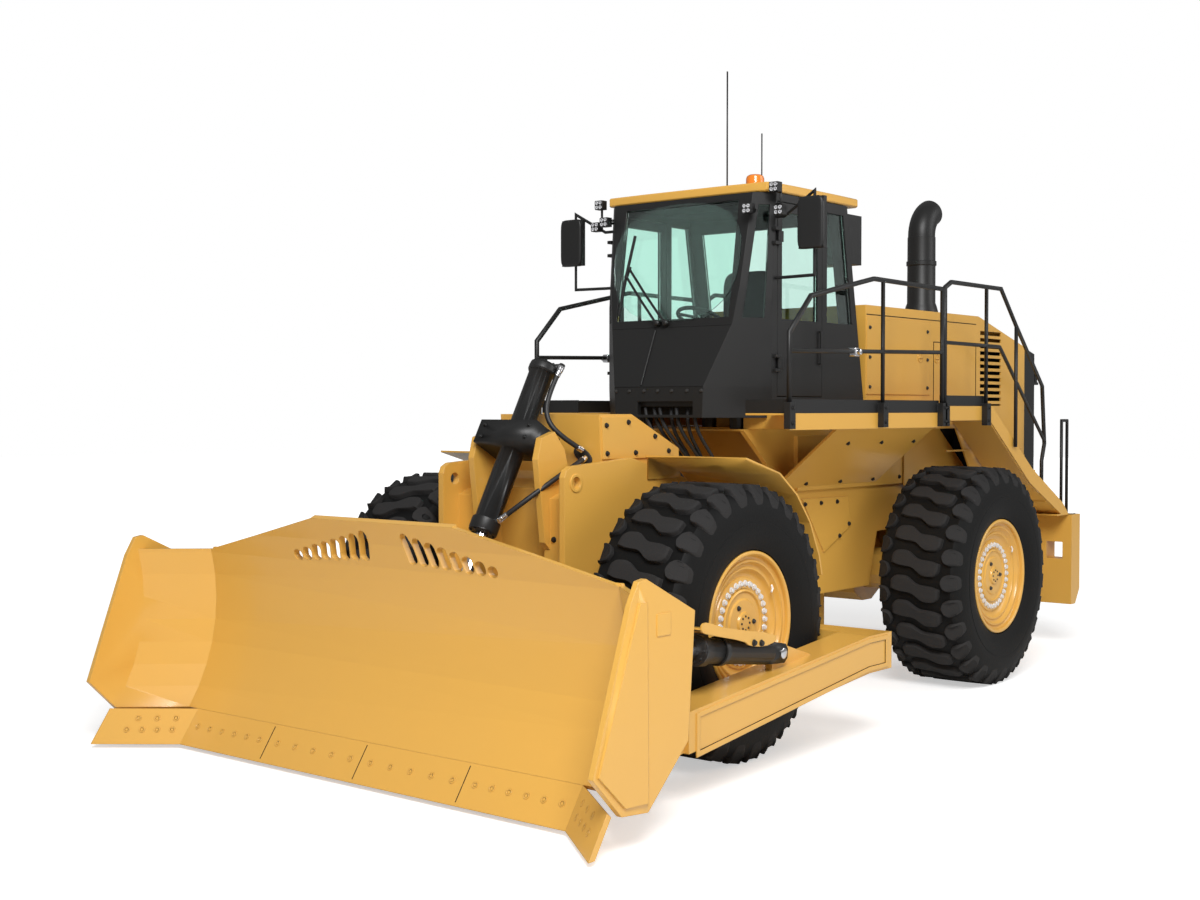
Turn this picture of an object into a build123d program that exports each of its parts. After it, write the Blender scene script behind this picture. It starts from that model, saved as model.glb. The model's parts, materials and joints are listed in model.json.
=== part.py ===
from build123d import *
import math
import os

# Articulated wheel dozer. Millimetres. +Y points to the rear of the machine, +X to its left side
# and +Z up. The origin is on the ground below the articulation hitch, midway between the axles.
os.makedirs("parts", exist_ok=True)

# ---------------------------------------------------------------- driving dimensions
GAP = 0.3               # faces of one body that nearly touch
RUN = 0.5               # running gap at pins and shafts
WHEELBASE = 3700
FRONT_Y = -WHEELBASE / 2
REAR_Y = WHEELBASE / 2
HALF_LENGTH = 4300      # blade tip to origin, and origin to bumper
BUMPER_T = 200
REAR_END = HALF_LENGTH - BUMPER_T       # back of the rear frame

TYRE_R = 900
TYRE_HALF = 370         # half the section width
FLOOR_R = 862           # bottom of the tread grooves
WIDEST_R = 655          # radius where the sidewall is widest
WHEEL_SIDES = 18        # flats round a wheel, one for each tread pitch
CENTRE_LUG = [(-165, -5), (-165, 120), (165, 5), (165, -120)]       # outline seen from outside: x, y
SHOULDER_LUG = [(215, 842), (222, 897), (325, 897), (341, 770)]    # section: x, z
LUG_HALF_LENGTH = 85
TRACK_HALF = 1180
BEAD_R = 440
LIP_R = 470
BEAD_HALF = 300         # half the width between the rim's lips
LIP_T = 25
SPINDLE_R = 149
HUB_BACK = 200          # wheel centre plane to the back of its hub
HUB_DEPTH = 60          # and to the end of the bore that takes the spindle
AXLE_R = 180
BRAKE_R = 230
FRAME_OPENING = 340     # wheel centre to the top of the front frame's opening for the axle
NOSE_R = 120            # trunnions that the rear axle rocks on

FRAME_X = 570           # outer face of the front frame's side plates
FRAME_T = 45
REAR_X = 560            # outer face of the rear frame's side plates
HITCH_R = 170
PIN_R = 70
HITCH_Z = (480, 1380)   # undersides of the front frame's two hitch tongues
TONGUE_T = 80
FORK_T = 60             # plates of the rear frame's fork, above and below each tongue
FORK_GAP = 6

LIFT_PIVOT = (-800, 640)        # push frame trunnions: y, z
TRUNNION_R = 75
BLADE_PIN = (-3250, 400)        # blade hinge on the arms
LIFT_TRUNNION = (-2430, 2070)
LIFT_EYE = (-3250, 600)
LIFT_UP = 580                   # trunnion to the barrel's cap
LIFT_DOWN = 690                 # and to its head
STEER_REAR = (370, 850)         # steering cylinder's pin on the rear frame: x, y
STEER_FRONT = (330, -130)       # and on the front frame
STEER_Z = 950
TIP_REAR = (-1985, 760)         # tip cylinder's pin on the arm: y, z
TIP_FRONT = (-3180, 920)        # and on the blade
ARM_IN = 1630
ARM_OUT = 1890
TIP_X = 1770
TIP_PLATE = 50                  # bracket plate that the tip cylinder's fork straddles
TIP_PIN = 32
KNUCKLE_R = 14          # door and guard hinges
KNUCKLE_H = 80
LEAF_T = 25
LUG_HALF = 55            # half the gap between the two lugs at each cylinder pin

BLADE_FOOT = (-3770, 250)       # mouldboard's front face, section points y, z
BLADE_MID = (-3540, 915)
BLADE_TOP = (-3690, 1586)
BLADE_T = 45
FLATS = 9               # the mouldboard is rolled in this many flats
EDGE_TIP = (-3920, 30)
FOOT_BACK = (BLADE_FOOT[0] + 34, BLADE_FOOT[1] - 28)
FACE_HALF = 1800                # straight part of the mouldboard
WING_RUN = 370
WING_SWEEP = -330
EDGE_HALF = 1700
TOP_HALF = 630                  # level part of the top edge
CORNER_Z = 1317
END_T = 35

DECK_Z = 2250
BEAM_H = 120
DECK_OUT = 1160
RAIL_R = 20
RAIL_X = DECK_OUT + RAIL_R + GAP
SOCKET_Z = 2330                 # top of the black sockets that hold the posts
HOOD_X = 780
HOOD_T = 15
HOOD_END = HALF_LENGTH - 370
HOOD_FRONT = 885
HOOD_TOP = 3120
HOOD_LOW = 2873                 # its height at the rear end
GRILLE = (2970, 3410, 2310, 2990)       # y0, y1, z0, z1
HOOD_BREAK = 2930               # where the hood's top starts to fall
SHROUD_END = HALF_LENGTH - 120
GUARD_END = HALF_LENGTH - 50

CAB_X = 770
CAB_FLOOR = 2300
CAB_TOP = 3880
CAB_WALL = 45
SKIRT_Z = 2215
SEAM_Z = 2445                   # top of the skirt
NOSE = (416, -855)              # cab's foremost corner on the seam: x, y
BROW = (650, -555)              # and at the top of the windscreen
SILL = (585, -697, 2909)        # windscreen's lower corner
HIP = (CAB_X, -480, SEAM_Z)     # where the lower corner panel meets the side
SHOULDER = (CAB_X, -500, 2800)  # and the upper corner panel
CAB_FOOT = 880                  # y of the rear wall at the floor
CAB_NECK = 600                  # and at the top
DOOR_Y = (-410, 230)
DOOR_Z = (2370, 3820)
SILL_Z = 2950                   # windows
HEAD_Z = 3800
ROOF_EDGE = 3960
ROOF_RISE = 55                  # crown of the roof above its edges


# ---------------------------------------------------------------- helpers
def block(x0, x1, y0, y1, z0, z1):
    return Pos((x0 + x1) / 2, (y0 + y1) / 2, (z0 + z1) / 2) * Box(x1 - x0, y1 - y0, z1 - z0)


def prism_x(points, x0, x1):
    """Outline given as (y, z) points, from x0 to x1."""
    face = make_face(Polyline(*[(x0, y, z) for y, z in points], close=True))
    return extrude(face, x1 - x0, dir=(1, 0, 0))


def prism_y(points, y0, y1):
    """Outline given as (x, z) points, from y0 to y1."""
    face = make_face(Polyline(*[(x, y0, z) for x, z in points], close=True))
    return extrude(face, y1 - y0, dir=(0, 1, 0))


def prism_z(points, z0, z1):
    """Outline given as (x, y) points, from z0 to z1."""
    face = make_face(Polyline(*[(x, y, z0) for x, y in points], close=True))
    return extrude(face, z1 - z0, dir=(0, 0, 1))


def rod(start, end, radius):
    start, end = Vector(*start), Vector(*end)
    plane = Plane(origin=start, z_dir=end - start)
    return plane * Cylinder(radius, (end - start).length, align=(Align.CENTER, Align.CENTER, Align.MIN))


def pin_x(y, z, radius, x0, x1):
    return rod((x0, y, z), (x1, y, z), radius)


def post(start, end, radius, sides=12):
    """Bar in flats between two points."""
    start, end = Vector(*start), Vector(*end)
    plane = Plane(origin=start, z_dir=end - start)
    return extrude(plane * RegularPolygon(radius, sides), (end - start).length)


def bar(points, radius):
    """Six-sided bar along straight runs with mitred corners."""
    path = Polyline(*points)
    start = Plane(origin=path @ 0, z_dir=path % 0)
    return sweep(start * RegularPolygon(radius, 6), path=path, transition=Transition.RIGHT)


def disc(x, y, z0, z1, radius, sides=12):
    """Upright disc in flats."""
    return Pos(x, y, z0) * extrude(RegularPolygon(radius, sides), z1 - z0)


def clear_bore(radius, sides=12):
    """Corner radius of a bore in flats that a bar of this radius runs in."""
    return (radius + RUN) / math.cos(math.pi / sides)


def both(shape):
    """The shape and its mirror image on the other side of the machine."""
    return [shape, mirror(shape, Plane.YZ)]


def leaf_heights(z):
    """Undersides of the two fixed leaves that hold a knuckle centred at z between them."""
    return z - KNUCKLE_H / 2 - GAP - LEAF_T, z + KNUCKLE_H / 2 + GAP


def write(name, *shapes):
    solids = []
    for shape in shapes:
        for item in shape if isinstance(shape, list) else [shape]:
            solids += item.solids()
    export_step(Compound(solids), f"parts/{name}.step")


# ---------------------------------------------------------------- wheels and axles
def turned(profile, sides=WHEEL_SIDES):
    """Closed profile of (x, r) points turned about the X axis in equal flats. r is taken at the corners."""
    angles = [2 * math.pi * (index + 0.5) / sides for index in range(sides)]
    rings = [[(x, r * math.sin(a), r * math.cos(a)) for a in angles] for x, r in profile]
    faces = []
    for near, far in zip(rings, rings[1:] + rings[:1]):
        for a, b in zip(range(sides), [*range(1, sides), 0]):
            corners = dict.fromkeys([near[a], near[b], far[b], far[a]])
            if len(corners) > 2:
                faces.append(make_face(Polyline(*corners, close=True)).face())
    return Solid(Shell(faces))


def round_bar(lengths, sides=WHEEL_SIDES):
    """Solid bar along X from a table of (x, r): each radius holds from its x to the next one."""
    profile = [(lengths[0][0], 0)]
    for (x0, r), (x1, _) in zip(lengths, lengths[1:]):
        profile += [(x0, r), (x1, r)]
    return turned(profile + [(lengths[-1][0], 0)], sides)


def tyre():
    """Carcass in flats, each with a slanted lug at its middle and a shoulder lug at either side."""
    half = [(TYRE_HALF - 50, FLOOR_R), (TYRE_HALF, WIDEST_R), (BEAD_HALF, LIP_R + 8)]
    bore = [(BEAD_HALF, BEAD_R + GAP), (-BEAD_HALF, BEAD_R + GAP)]
    shape = turned(half + bore + [(-x, r) for x, r in reversed(half)])
    centre_lug = extrude(make_face(Polyline(*[(x, y, FLOOR_R - 20) for x, y in CENTRE_LUG], close=True)),
                         TYRE_R - FLOOR_R + 20)
    shoulder_lug = prism_y(SHOULDER_LUG, -LUG_HALF_LENGTH, LUG_HALF_LENGTH)
    lugs = []
    for index in range(WHEEL_SIDES):
        turn = Rot(360 * index / WHEEL_SIDES, 0, 0)
        lugs += [turn * centre_lug, turn * shoulder_lug, turn * mirror(shoulder_lug, Plane.YZ)]
    return shape + lugs


def rim():
    """Bead seat between two lips, with the dished centre and hub that the nuts hold."""
    lip = BEAD_HALF + GAP
    bore = (SPINDLE_R + RUN) / math.cos(math.pi / WHEEL_SIDES)
    return turned([
        (-lip - LIP_T, LIP_R), (-lip, LIP_R), (-lip, BEAD_R), (lip, BEAD_R), (lip, LIP_R),
        (lip + LIP_T, LIP_R), (205, 370), (160, 290), (175, 0),
        (-HUB_DEPTH, 0), (-HUB_DEPTH, bore), (-HUB_BACK, bore), (-HUB_BACK, BEAD_R - 25),
        (-lip - LIP_T, BEAD_R - 25),
    ])


def axle(y):
    """Brake housings, arms and the swollen centre, with the round spindles that the wheels turn on."""
    spindle_end = TRACK_HALF - HUB_DEPTH - RUN
    brake_end = TRACK_HALF - HUB_BACK - 10
    lengths = [(-brake_end, BRAKE_R), (-660, AXLE_R), (-260, 300), (260, AXLE_R), (660, BRAKE_R),
               (brake_end, 0)]
    shape = Pos(0, y, TYRE_R) * round_bar(lengths, 12)
    for x0, x1 in ((brake_end - 1, spindle_end), (-spindle_end, 1 - brake_end)):
        shape += pin_x(y, TYRE_R, SPINDLE_R, x0, x1)
    return shape


tyre_shape = tyre()
rim_shape = rim()
for end, wheel_y in (("front", FRONT_Y), ("rear", REAR_Y)):
    for side, sign in (("left", 1), ("right", -1)):
        place = Pos(sign * TRACK_HALF, wheel_y, TYRE_R)
        wheel_rim = rim_shape if sign > 0 else mirror(rim_shape, Plane.YZ)
        write(f"{end}_{side}_tyre", place * tyre_shape)
        write(f"{end}_{side}_rim", place * wheel_rim)
write("front_axle", axle(FRONT_Y))
nose = Pos(0, REAR_Y, TYRE_R) * Rot(0, 0, 90) * round_bar([(-550, NOSE_R), (550, 0)], 12)
write("rear_axle", axle(REAR_Y) + nose)

# ---------------------------------------------------------------- front frame
FRONT_NOSE = -2600
POCKET_Y = -2290         # back wall of the recess that the lift cylinder swings in
EAR_X = 265             # inner faces of the ears that carry the yoke
PIN_CLEAR = clear_bore(PIN_R, 16)
LIFT_HOLE = (-2486, 1800)
LIFT_HOLE_R = 40
side_outline = [
    (FRONT_NOSE, 620), (FRONT_NOSE, 1840), (FRONT_NOSE + 20, 1885), (FRONT_NOSE + 70, 1910), (-1900, 1950),
    (-1300, 1800), (-560, 1480), (-560, 440), (-2300, 440),
]
AXLE_BORE = AXLE_R + GAP
side_plate = prism_x(side_outline, FRAME_X - FRAME_T, FRAME_X)
side_plate -= pin_x(*LIFT_HOLE, LIFT_HOLE_R, 400, 700)
core = prism_x(
    [(-2450, 640), (-2450, 1690), (-2130, 1800), (-2080, 1850), (-1300, 1780), (-600, 1470),
     (-600, 460), (-2300, 460)],
    -FRAME_X + FRAME_T, FRAME_X - FRAME_T,
)
core -= block(-FRAME_X, FRAME_X, FRONT_Y - 330, FRONT_Y + 330, 400, TYRE_R + FRAME_OPENING)
tower = prism_x([(-2080, 1850), (-2100, 2245), (-1750, 2245), (-1200, 2000), (-1200, 1700)], -450, 450)
lid = prism_x([(-2070, 1940), (-2085, 2225), (-1760, 2225), (-1290, 2020), (-1290, 1940)], 449, 462)
front_frame = core + tower + [side_plate, mirror(side_plate, Plane.YZ), lid, mirror(lid, Plane.YZ)]
front_frame -= Pos(0, FRONT_Y, TYRE_R) * round_bar([(-FRAME_X - 10, AXLE_BORE), (FRAME_X + 10, 0)], 12)
front_frame -= block(-EAR_X, EAR_X, FRONT_NOSE, POCKET_Y, 660, 2300)
for ear_x in (EAR_X, -EAR_X - 50):
    ear = prism_x([(-2500, 1400), (-2570, 1950), (-2530, 2090), (-2400, 2130), (-2300, 2010), (-2200, 1700),
                   (-2400, 1300)], ear_x, ear_x + 50)
    front_frame += ear
for low in HITCH_Z:
    tongue = prism_z([(-420, -620), (420, -620), (HITCH_R, -60), (HITCH_R - 50, 110), (50, HITCH_R),
                      (-50, HITCH_R), (50 - HITCH_R, 110), (-HITCH_R, -60)], low, low + TONGUE_T)
    tongue -= disc(0, 0, low - 1, low + TONGUE_T + 1, PIN_CLEAR, 16)
    front_frame += tongue
for sign in (1, -1):
    x_pin, y_pin = sign * STEER_FRONT[0], STEER_FRONT[1]
    for z0 in (STEER_Z - LUG_HALF - 40, STEER_Z + LUG_HALF):
        front_frame += prism_z([
            (x_pin - 60, -620), (x_pin + 60, -620), (x_pin + 60, y_pin + 25), (x_pin + 25, y_pin + 60),
            (x_pin - 25, y_pin + 60), (x_pin - 60, y_pin + 25)], z0, z0 + 40)
    inner, outer = sorted((sign * (FRAME_X - 5), sign * (FRAME_X + 200)))
    front_frame += pin_x(*LIFT_PIVOT, TRUNNION_R, inner, outer)
write("front_frame", front_frame)

# Fenders behind each front wheel, one bent sheet each, from above the axle down to hub height.
FENDER_R = 1065
FENDER_T = 14
FENDER_OUT = 1400
FENDER_ANGLES = (62, 48, 34, 20, 12)
FENDER_FRONT = FRONT_Y + 100
FENDER_TOP = 1950


def fender_points(radius, top):
    """Points y, z along the bent sheet's face at this radius, from its front edge down to hub height."""
    points = [(FENDER_FRONT, top)]
    for angle in FENDER_ANGLES:
        turn = math.radians(angle)
        points.append((FRONT_Y + radius * math.cos(turn), min(top, TYRE_R + radius * math.sin(turn))))
    return points


under = fender_points(FENDER_R, FENDER_TOP)
over = fender_points(FENDER_R + FENDER_T, FENDER_TOP + FENDER_T)
fender = prism_x(under + over[::-1], FRAME_X + GAP, FENDER_OUT)
fender += prism_x([(FRONT_Y + 120, 1800), (FRONT_Y + 120, 1955), (FRONT_Y + 420, 1955),
                   (FRONT_Y + 500, 1800)], FRAME_X + GAP, FRAME_X + GAP + 12)
write("front_fenders", both(fender))

# ---------------------------------------------------------------- lift cylinder
lift_axis = Vector(0, LIFT_EYE[0] - LIFT_TRUNNION[0], LIFT_EYE[1] - LIFT_TRUNNION[1]).normalized()
lift_mid = Vector(0, *LIFT_TRUNNION)
LIFT_ROD_R = 45
LIFT_BORE_DEPTH = 1200
LIFT_ROD_IN = 380       # how far the rod reaches into the barrel at rest
top_point = lift_mid - lift_axis * LIFT_UP
low_point = lift_mid + lift_axis * LIFT_DOWN
eye_point = Vector(0, *LIFT_EYE)
yoke_turn = Plane(origin=lift_mid, x_dir=(1, 0, 0), z_dir=-lift_axis)
barrel = post(top_point + lift_axis * 60, low_point - lift_axis * 90, 85, 16)
barrel += post(low_point - lift_axis * 90, low_point, 96, 16)
barrel += post(top_point, top_point + lift_axis * 60, 96, 16)
barrel += yoke_turn * Box(500, 270, 170)
barrel -= post(low_point - lift_axis * LIFT_BORE_DEPTH, low_point, clear_bore(LIFT_ROD_R))
for sign in (1, -1):
    barrel += rod(lift_mid + Vector(sign * 249, 0, 0), lift_mid + Vector(sign * (EAR_X - RUN), 0, 0), 80)
# Hoses from fittings on the barrel to the tower. They swing with the cylinder.
HOSE_R = 17.5
UPPER_HOSE = ((118, -2120, 2546), (116, -2225, 2400), (140, -2300, 2230), (235, -2262, 2100),
              (325, -2120, 2000))
LOWER_HOSE = ((110, -2699, 1560), (405, -2590, 1790), (345, -2120, 1950))


def hose(points):
    """Tube of straight runs and tangent arcs, each arc as large as the runs beside it allow."""
    points = [Vector(*point) for point in points]
    runs = [b - a for a, b in zip(points, points[1:])]
    radii = []
    for a, b in zip(runs, runs[1:]):
        half_turn = math.radians(a.get_angle(b) / 2)
        radii.append(0.45 * min(a.length, b.length) / math.tan(half_turn))
    path = FilletPolyline(*points, radius=radii)
    print("hose radii", [round(r) for r in radii], "length", round(path.length))
    return sweep(Plane(origin=path @ 0, z_dir=path % 0) * RegularPolygon(HOSE_R, 8), path=path)


for points, inboard in ((UPPER_HOSE, (60, -2150, 2565)), (LOWER_HOSE, (60, -2724, 1517))):
    start = Vector(*points[0])
    along = (Vector(*points[1]) - start).normalized()
    barrel += post(start - along * 45, start - along * GAP, 22, 8)
    barrel += post(inboard, start - along * 30, 20, 8)
write("lift_cylinder", barrel)
write("lift_hose_upper", hose(UPPER_HOSE))
write("lift_hose_lower", hose(LOWER_HOSE))
lift_rod = post(low_point - lift_axis * LIFT_ROD_IN, eye_point - lift_axis * 40, LIFT_ROD_R)
lift_rod += post((RUN - LUG_HALF, *LIFT_EYE), (LUG_HALF - RUN, *LIFT_EYE), 80)
write("lift_rod", lift_rod)

# ---------------------------------------------------------------- push frame
arm = prism_x(
    [(-3060, 320), (-3060, 560), (-1000, 760), (-700, 760), (-700, 510), (-1000, 510)], ARM_IN, ARM_OUT
)
nose_in = ARM_IN + 40
nose_out = ARM_OUT - 40
arm += prism_x([(BLADE_PIN[0], 290), (BLADE_PIN[0], 510), (-3000, 550), (-3000, 330)], nose_in, nose_out)
arm += post((nose_in, *BLADE_PIN), (nose_out, *BLADE_PIN), 110, 16)
arm += block(760, ARM_OUT, -930, -700, 510, 760)
arm += post((FRAME_X + RUN, *LIFT_PIVOT), (FRAME_X + 196, *LIFT_PIVOT), 150, 16)
arm += block(700, 800, -930, -700, 510, 760)
arm -= pin_x(*LIFT_PIVOT, TRUNNION_R + RUN, FRAME_X - 10, FRAME_X + 205)
# Raised rim round the arm's outer plate, and the plate that carries the tip cylinder.
arm += prism_x([(-2990, 290), (-2990, 545), (-1010, 745), (-760, 745), (-760, 525), (-1010, 525)],
               ARM_OUT - 1, ARM_OUT + 8)
arm -= prism_x([(-2960, 325), (-2960, 520), (-1010, 715), (-790, 715), (-790, 555), (-1010, 555)],
               ARM_OUT, ARM_OUT + 9)
bracket = prism_x([(-2060, 620), (-2035, 810), (-1940, 810), (-1520, 680)],
                  TIP_X - TIP_PLATE / 2, TIP_X + TIP_PLATE / 2)
arm += bracket - post((TIP_X - 50, *TIP_REAR), (TIP_X + 50, *TIP_REAR), clear_bore(TIP_PIN, 16), 16)
write("push_frame", arm, mirror(arm, Plane.YZ))

# ---------------------------------------------------------------- blade


def flats(start, middle, end):
    """Points along the arc through three (y, z) points, one at the end of each flat of the rolled plate."""
    arc = ThreePointArc(start, middle, end)
    return [tuple(arc @ (index / FLATS))[:2] for index in range(FLATS + 1)]


FACE_ARC = ThreePointArc(BLADE_FOOT, BLADE_MID, BLADE_TOP)
FACE_CENTRE = FACE_ARC.arc_center
FACE_R = FACE_ARC.radius


def face_y(z, depth=0.0):
    """How far back the mouldboard's front face lies at height z, plus a depth behind it."""
    return FACE_CENTRE.X + math.sqrt(FACE_R**2 - (z - FACE_CENTRE.Y) ** 2) + depth


def behind_face(heights, back):
    """Section of a stiffener: it follows the mouldboard inside its thickness, and then the points behind."""
    return [(face_y(z, BLADE_T / 2), z) for z in heights] + back


def face_section(x):
    """Closed section of the curved mouldboard, from its front face back by its thickness."""
    front = flats(BLADE_FOOT, BLADE_MID, BLADE_TOP)
    back = flats(FOOT_BACK, (BLADE_MID[0] + BLADE_T, BLADE_MID[1]), (BLADE_TOP[0] + 41, BLADE_TOP[1] + 18))
    return make_face(Polyline(*[(x, y, z) for y, z in front + back[::-1]], close=True))


def edge_section(x):
    """Bevelled plate that continues the mouldboard's foot down to the tip."""
    run = Vector(EDGE_TIP[0] - BLADE_FOOT[0], EDGE_TIP[1] - BLADE_FOOT[1])
    seat = run.normalized() * GAP
    front = (BLADE_FOOT[0] + seat.X, BLADE_FOOT[1] + seat.Y)
    back = (FOOT_BACK[0] + seat.X, FOOT_BACK[1] + seat.Y)
    heel = (FOOT_BACK[0] + run.X * (FOOT_BACK[1] - EDGE_TIP[1]) / -run.Y, EDGE_TIP[1])
    return make_face(Polyline((x, *EDGE_TIP), (x, *heel), (x, *back), (x, *front), close=True))


mould = extrude(face_section(-FACE_HALF), 2 * FACE_HALF, dir=(1, 0, 0))
wing_dir = Vector(WING_RUN, WING_SWEEP, 0)
wing = extrude(face_section(FACE_HALF), wing_dir.length, dir=wing_dir.normalized())
blade = mould + wing + mirror(wing, Plane.YZ)
for sign in (1, -1):
    slope = [(TOP_HALF, BLADE_TOP[1]), (TOP_HALF, 1800), (2300, 1800), (2300, CORNER_Z), (FACE_HALF, CORNER_Z)]
    blade -= prism_y([(sign * x, z) for x, z in slope], -4400, -3300)
END_X = FACE_HALF + WING_RUN
end_plate = prism_x(
    [(-3930, 1400), (-3870, 1410), (-3440, 1205), (-3500, 515), (-3850, 200), (-4070, 220), (-HALF_LENGTH, 448),
     (-4000, 1280)], END_X, END_X + END_T)
blade += prism_x(behind_face((270, 400, 520, 640), [(-3440, 640), (-3440, 260)]), -FACE_HALF, FACE_HALF)
blade += prism_x(behind_face((1240, 1330), [(-3540, 1330), (-3480, 1240)]), -FACE_HALF, FACE_HALF)
WEB_HEIGHTS = (280, 500, 700, 900, 1100, 1250)
back_web = prism_x(behind_face(WEB_HEIGHTS, [(-3440, 1205), (-3440, 260)]), 1300, 1330)
blade += back_web + mirror(back_web, Plane.YZ)
side_web = prism_x(behind_face(WEB_HEIGHTS, [(-3440, 1205), (-3500, 515), (-3640, 260)]),
                   FACE_HALF - 25, FACE_HALF)
blade += side_web + mirror(side_web, Plane.YZ)
wear_plate = prism_x([(-3930, 1290), (-3870, 1290), (-3860, 250), (-4050, 260), (-4265, 455)],
                     END_X + END_T - 1, END_X + END_T + 12)
blade += wear_plate + mirror(wear_plate, Plane.YZ)
blade += end_plate + mirror(end_plate, Plane.YZ)
for lug_x in (-LUG_HALF - 40, LUG_HALF):
    blade += prism_x([(-3560, 640), (-3300, 690), (-3190, 650), (-3190, 540), (-3300, 480), (-3560, 400)],
                     lug_x, lug_x + 40)
for sign in (1, -1):
    for lug_x in (nose_in - 30 - RUN, nose_out + RUN):
        x0, x1 = sorted((sign * lug_x, sign * (lug_x + 30)))
        blade += prism_x([(-3500, 640), (-3250, 500), (-3170, 450), (-3170, 330), (-3250, 290),
                          (-3500, 260)], x0, x1)
    for lug_x in (TIP_X - LUG_HALF - 30, TIP_X + LUG_HALF):
        x0, x1 = sorted((sign * lug_x, sign * (lug_x + 30)))
        blade += prism_x([(-3520, 1000), (-3200, 985), (-3120, 940), (-3120, 860), (-3200, 820),
                          (-3520, 780)], x0, x1)
for group in (1, -1):
    for index in range(8):
        x = group * (200 + index * 95)
        length = 190 - 18 * index
        slot = Pos(x, -3650, 1430 - 14 * index) * Rot(0, group * -12, 0) * Box(34, 300, length)
        blade -= slot
write("blade", blade)
edge = extrude(edge_section(-EDGE_HALF), 2 * EDGE_HALF, dir=(1, 0, 0))
bit_dir = Vector(470, -375, 0)
bit = extrude(edge_section(EDGE_HALF + GAP), bit_dir.length, dir=bit_dir.normalized())
write("cutting_edges", edge, both(bit))


# ---------------------------------------------------------------- hydraulic cylinders in pairs
def cylinder(pin, eye, across, sizes):
    """Barrel pinned at pin and rod pinned at eye, both pins along the across direction."""
    shell, rod_r, tail, head, rod_in = sizes
    pin, eye, across = Vector(*pin), Vector(*eye), Vector(*across)
    along = (eye - pin).normalized()
    start = pin + along * tail
    end = pin + along * head
    barrel = post(start, end - along * 70, shell, 16)
    barrel += post(end - along * 70, end, shell + 16, 16)
    barrel -= post(start + along * 25, end, clear_bore(rod_r), 12)
    inner = post(pin + along * rod_in, eye, rod_r, 12)
    half = across * (LUG_HALF - RUN)
    inner += post(eye - half, eye + half, rod_r * 1.5, 12)
    return barrel, inner


def fork(pin, eye, across, tail):
    """Two plates and a pin at the barrel's foot, which straddle a bracket plate."""
    pin, eye, across = Vector(*pin), Vector(*eye), Vector(*across)
    along = (eye - pin).normalized()
    aside = along.cross(across)
    shape = rod(pin - across * 62, pin + across * 62, TIP_PIN)
    for side in (1, -1):
        base = Plane(origin=pin + across * side * (TIP_PLATE / 2 + 3), x_dir=along, z_dir=across * side)
        outline = [(-60, 28), (-28, 60), (tail, 70), (tail, -70), (-28, -60), (-60, -28)]
        shape += extrude(base * make_face(Polyline(*outline, close=True)), 32)
    return shape + post(pin + along * (tail - 25), pin + along * tail, 78, 16)


#                 barrel radius, rod radius, pin to barrel, pin to its head, pin to the rod's inner end
STEER_SIZES = (60, 28, 75, 612, 352)
TIP_SIZES = (78, 42, 130, 860, 600)
for side, sign in (("left", 1), ("right", -1)):
    steer_pin = (sign * STEER_REAR[0], STEER_REAR[1], STEER_Z)
    steer_eye = (sign * STEER_FRONT[0], STEER_FRONT[1], STEER_Z)
    barrel, inner = cylinder(steer_pin, steer_eye, (0, 0, 1), STEER_SIZES)
    x, y = steer_pin[:2]
    boss = LUG_HALF - RUN
    barrel += rod((x, y, STEER_Z - boss), (x, y, STEER_Z + boss), 45)
    barrel += block(x - 30, x + 30, y - 95, y, STEER_Z - 30, STEER_Z + 30)
    write(f"steer_cylinder_{side}", barrel)
    write(f"steer_rod_{side}", inner)
    tip_pin, tip_eye = (sign * TIP_X, *TIP_REAR), (sign * TIP_X, *TIP_FRONT)
    barrel, inner = cylinder(tip_pin, tip_eye, (1, 0, 0), TIP_SIZES)
    write(f"tip_cylinder_{side}", barrel + fork(tip_pin, tip_eye, (1, 0, 0), TIP_SIZES[2]))
    write(f"tip_rod_{side}", inner)

# Folded plate bolted on each tip cylinder, which covers its hoses.
slope = math.degrees(math.atan2(TIP_FRONT[1] - TIP_REAR[1], TIP_REAR[0] - TIP_FRONT[0]))
cover = block(-70, 50, -780, -150, 110, 122) + block(50, 62, -780, -150, 68, 122)
cover += block(-70, 40, -960, -779, 135, 147) + block(-70, 50, -790, -770, 110, 147)
cover += block(-25, 25, -480, -450, TIP_SIZES[0] + GAP, 111)
cover = Pos(TIP_X, *TIP_REAR) * Rot(-slope, 0, 0) * cover
write("tip_guard_left", cover)
write("tip_guard_right", mirror(cover, Plane.YZ))

# ---------------------------------------------------------------- rear frame
FRAME_TOP = DECK_Z - BEAM_H
SHELF_Z = 1300
PLATE_FRONT = -530              # where the frame's top plate under the cab begins
SHELF_FRONT = 3110
inside = REAR_X - 40
rear_outline = [
    (PLATE_FRONT, FRAME_TOP), (PLATE_FRONT, FRAME_TOP - 15), (-232, 1873), (20, 1500), (450, 1150), (450, 800),
    (1350, 800), (1480, 1250), (2220, 1250), (2350, 800), (3700, 800), (REAR_END, 900), (REAR_END, SHELF_Z),
    (3100, SHELF_Z), (2500, FRAME_TOP),
]
rear_plate = prism_x(rear_outline, inside, REAR_X)
# Bolted cover plate, and the long tank wall above it.
rear_plate += prism_x([(272, 1574), (983, 1564), (1024, 1322), (604, 1131)], REAR_X - 1, REAR_X + 12)
rear_plate += block(REAR_X - 1, REAR_X + 35, 165, 1876, 1640, 2072)
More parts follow.
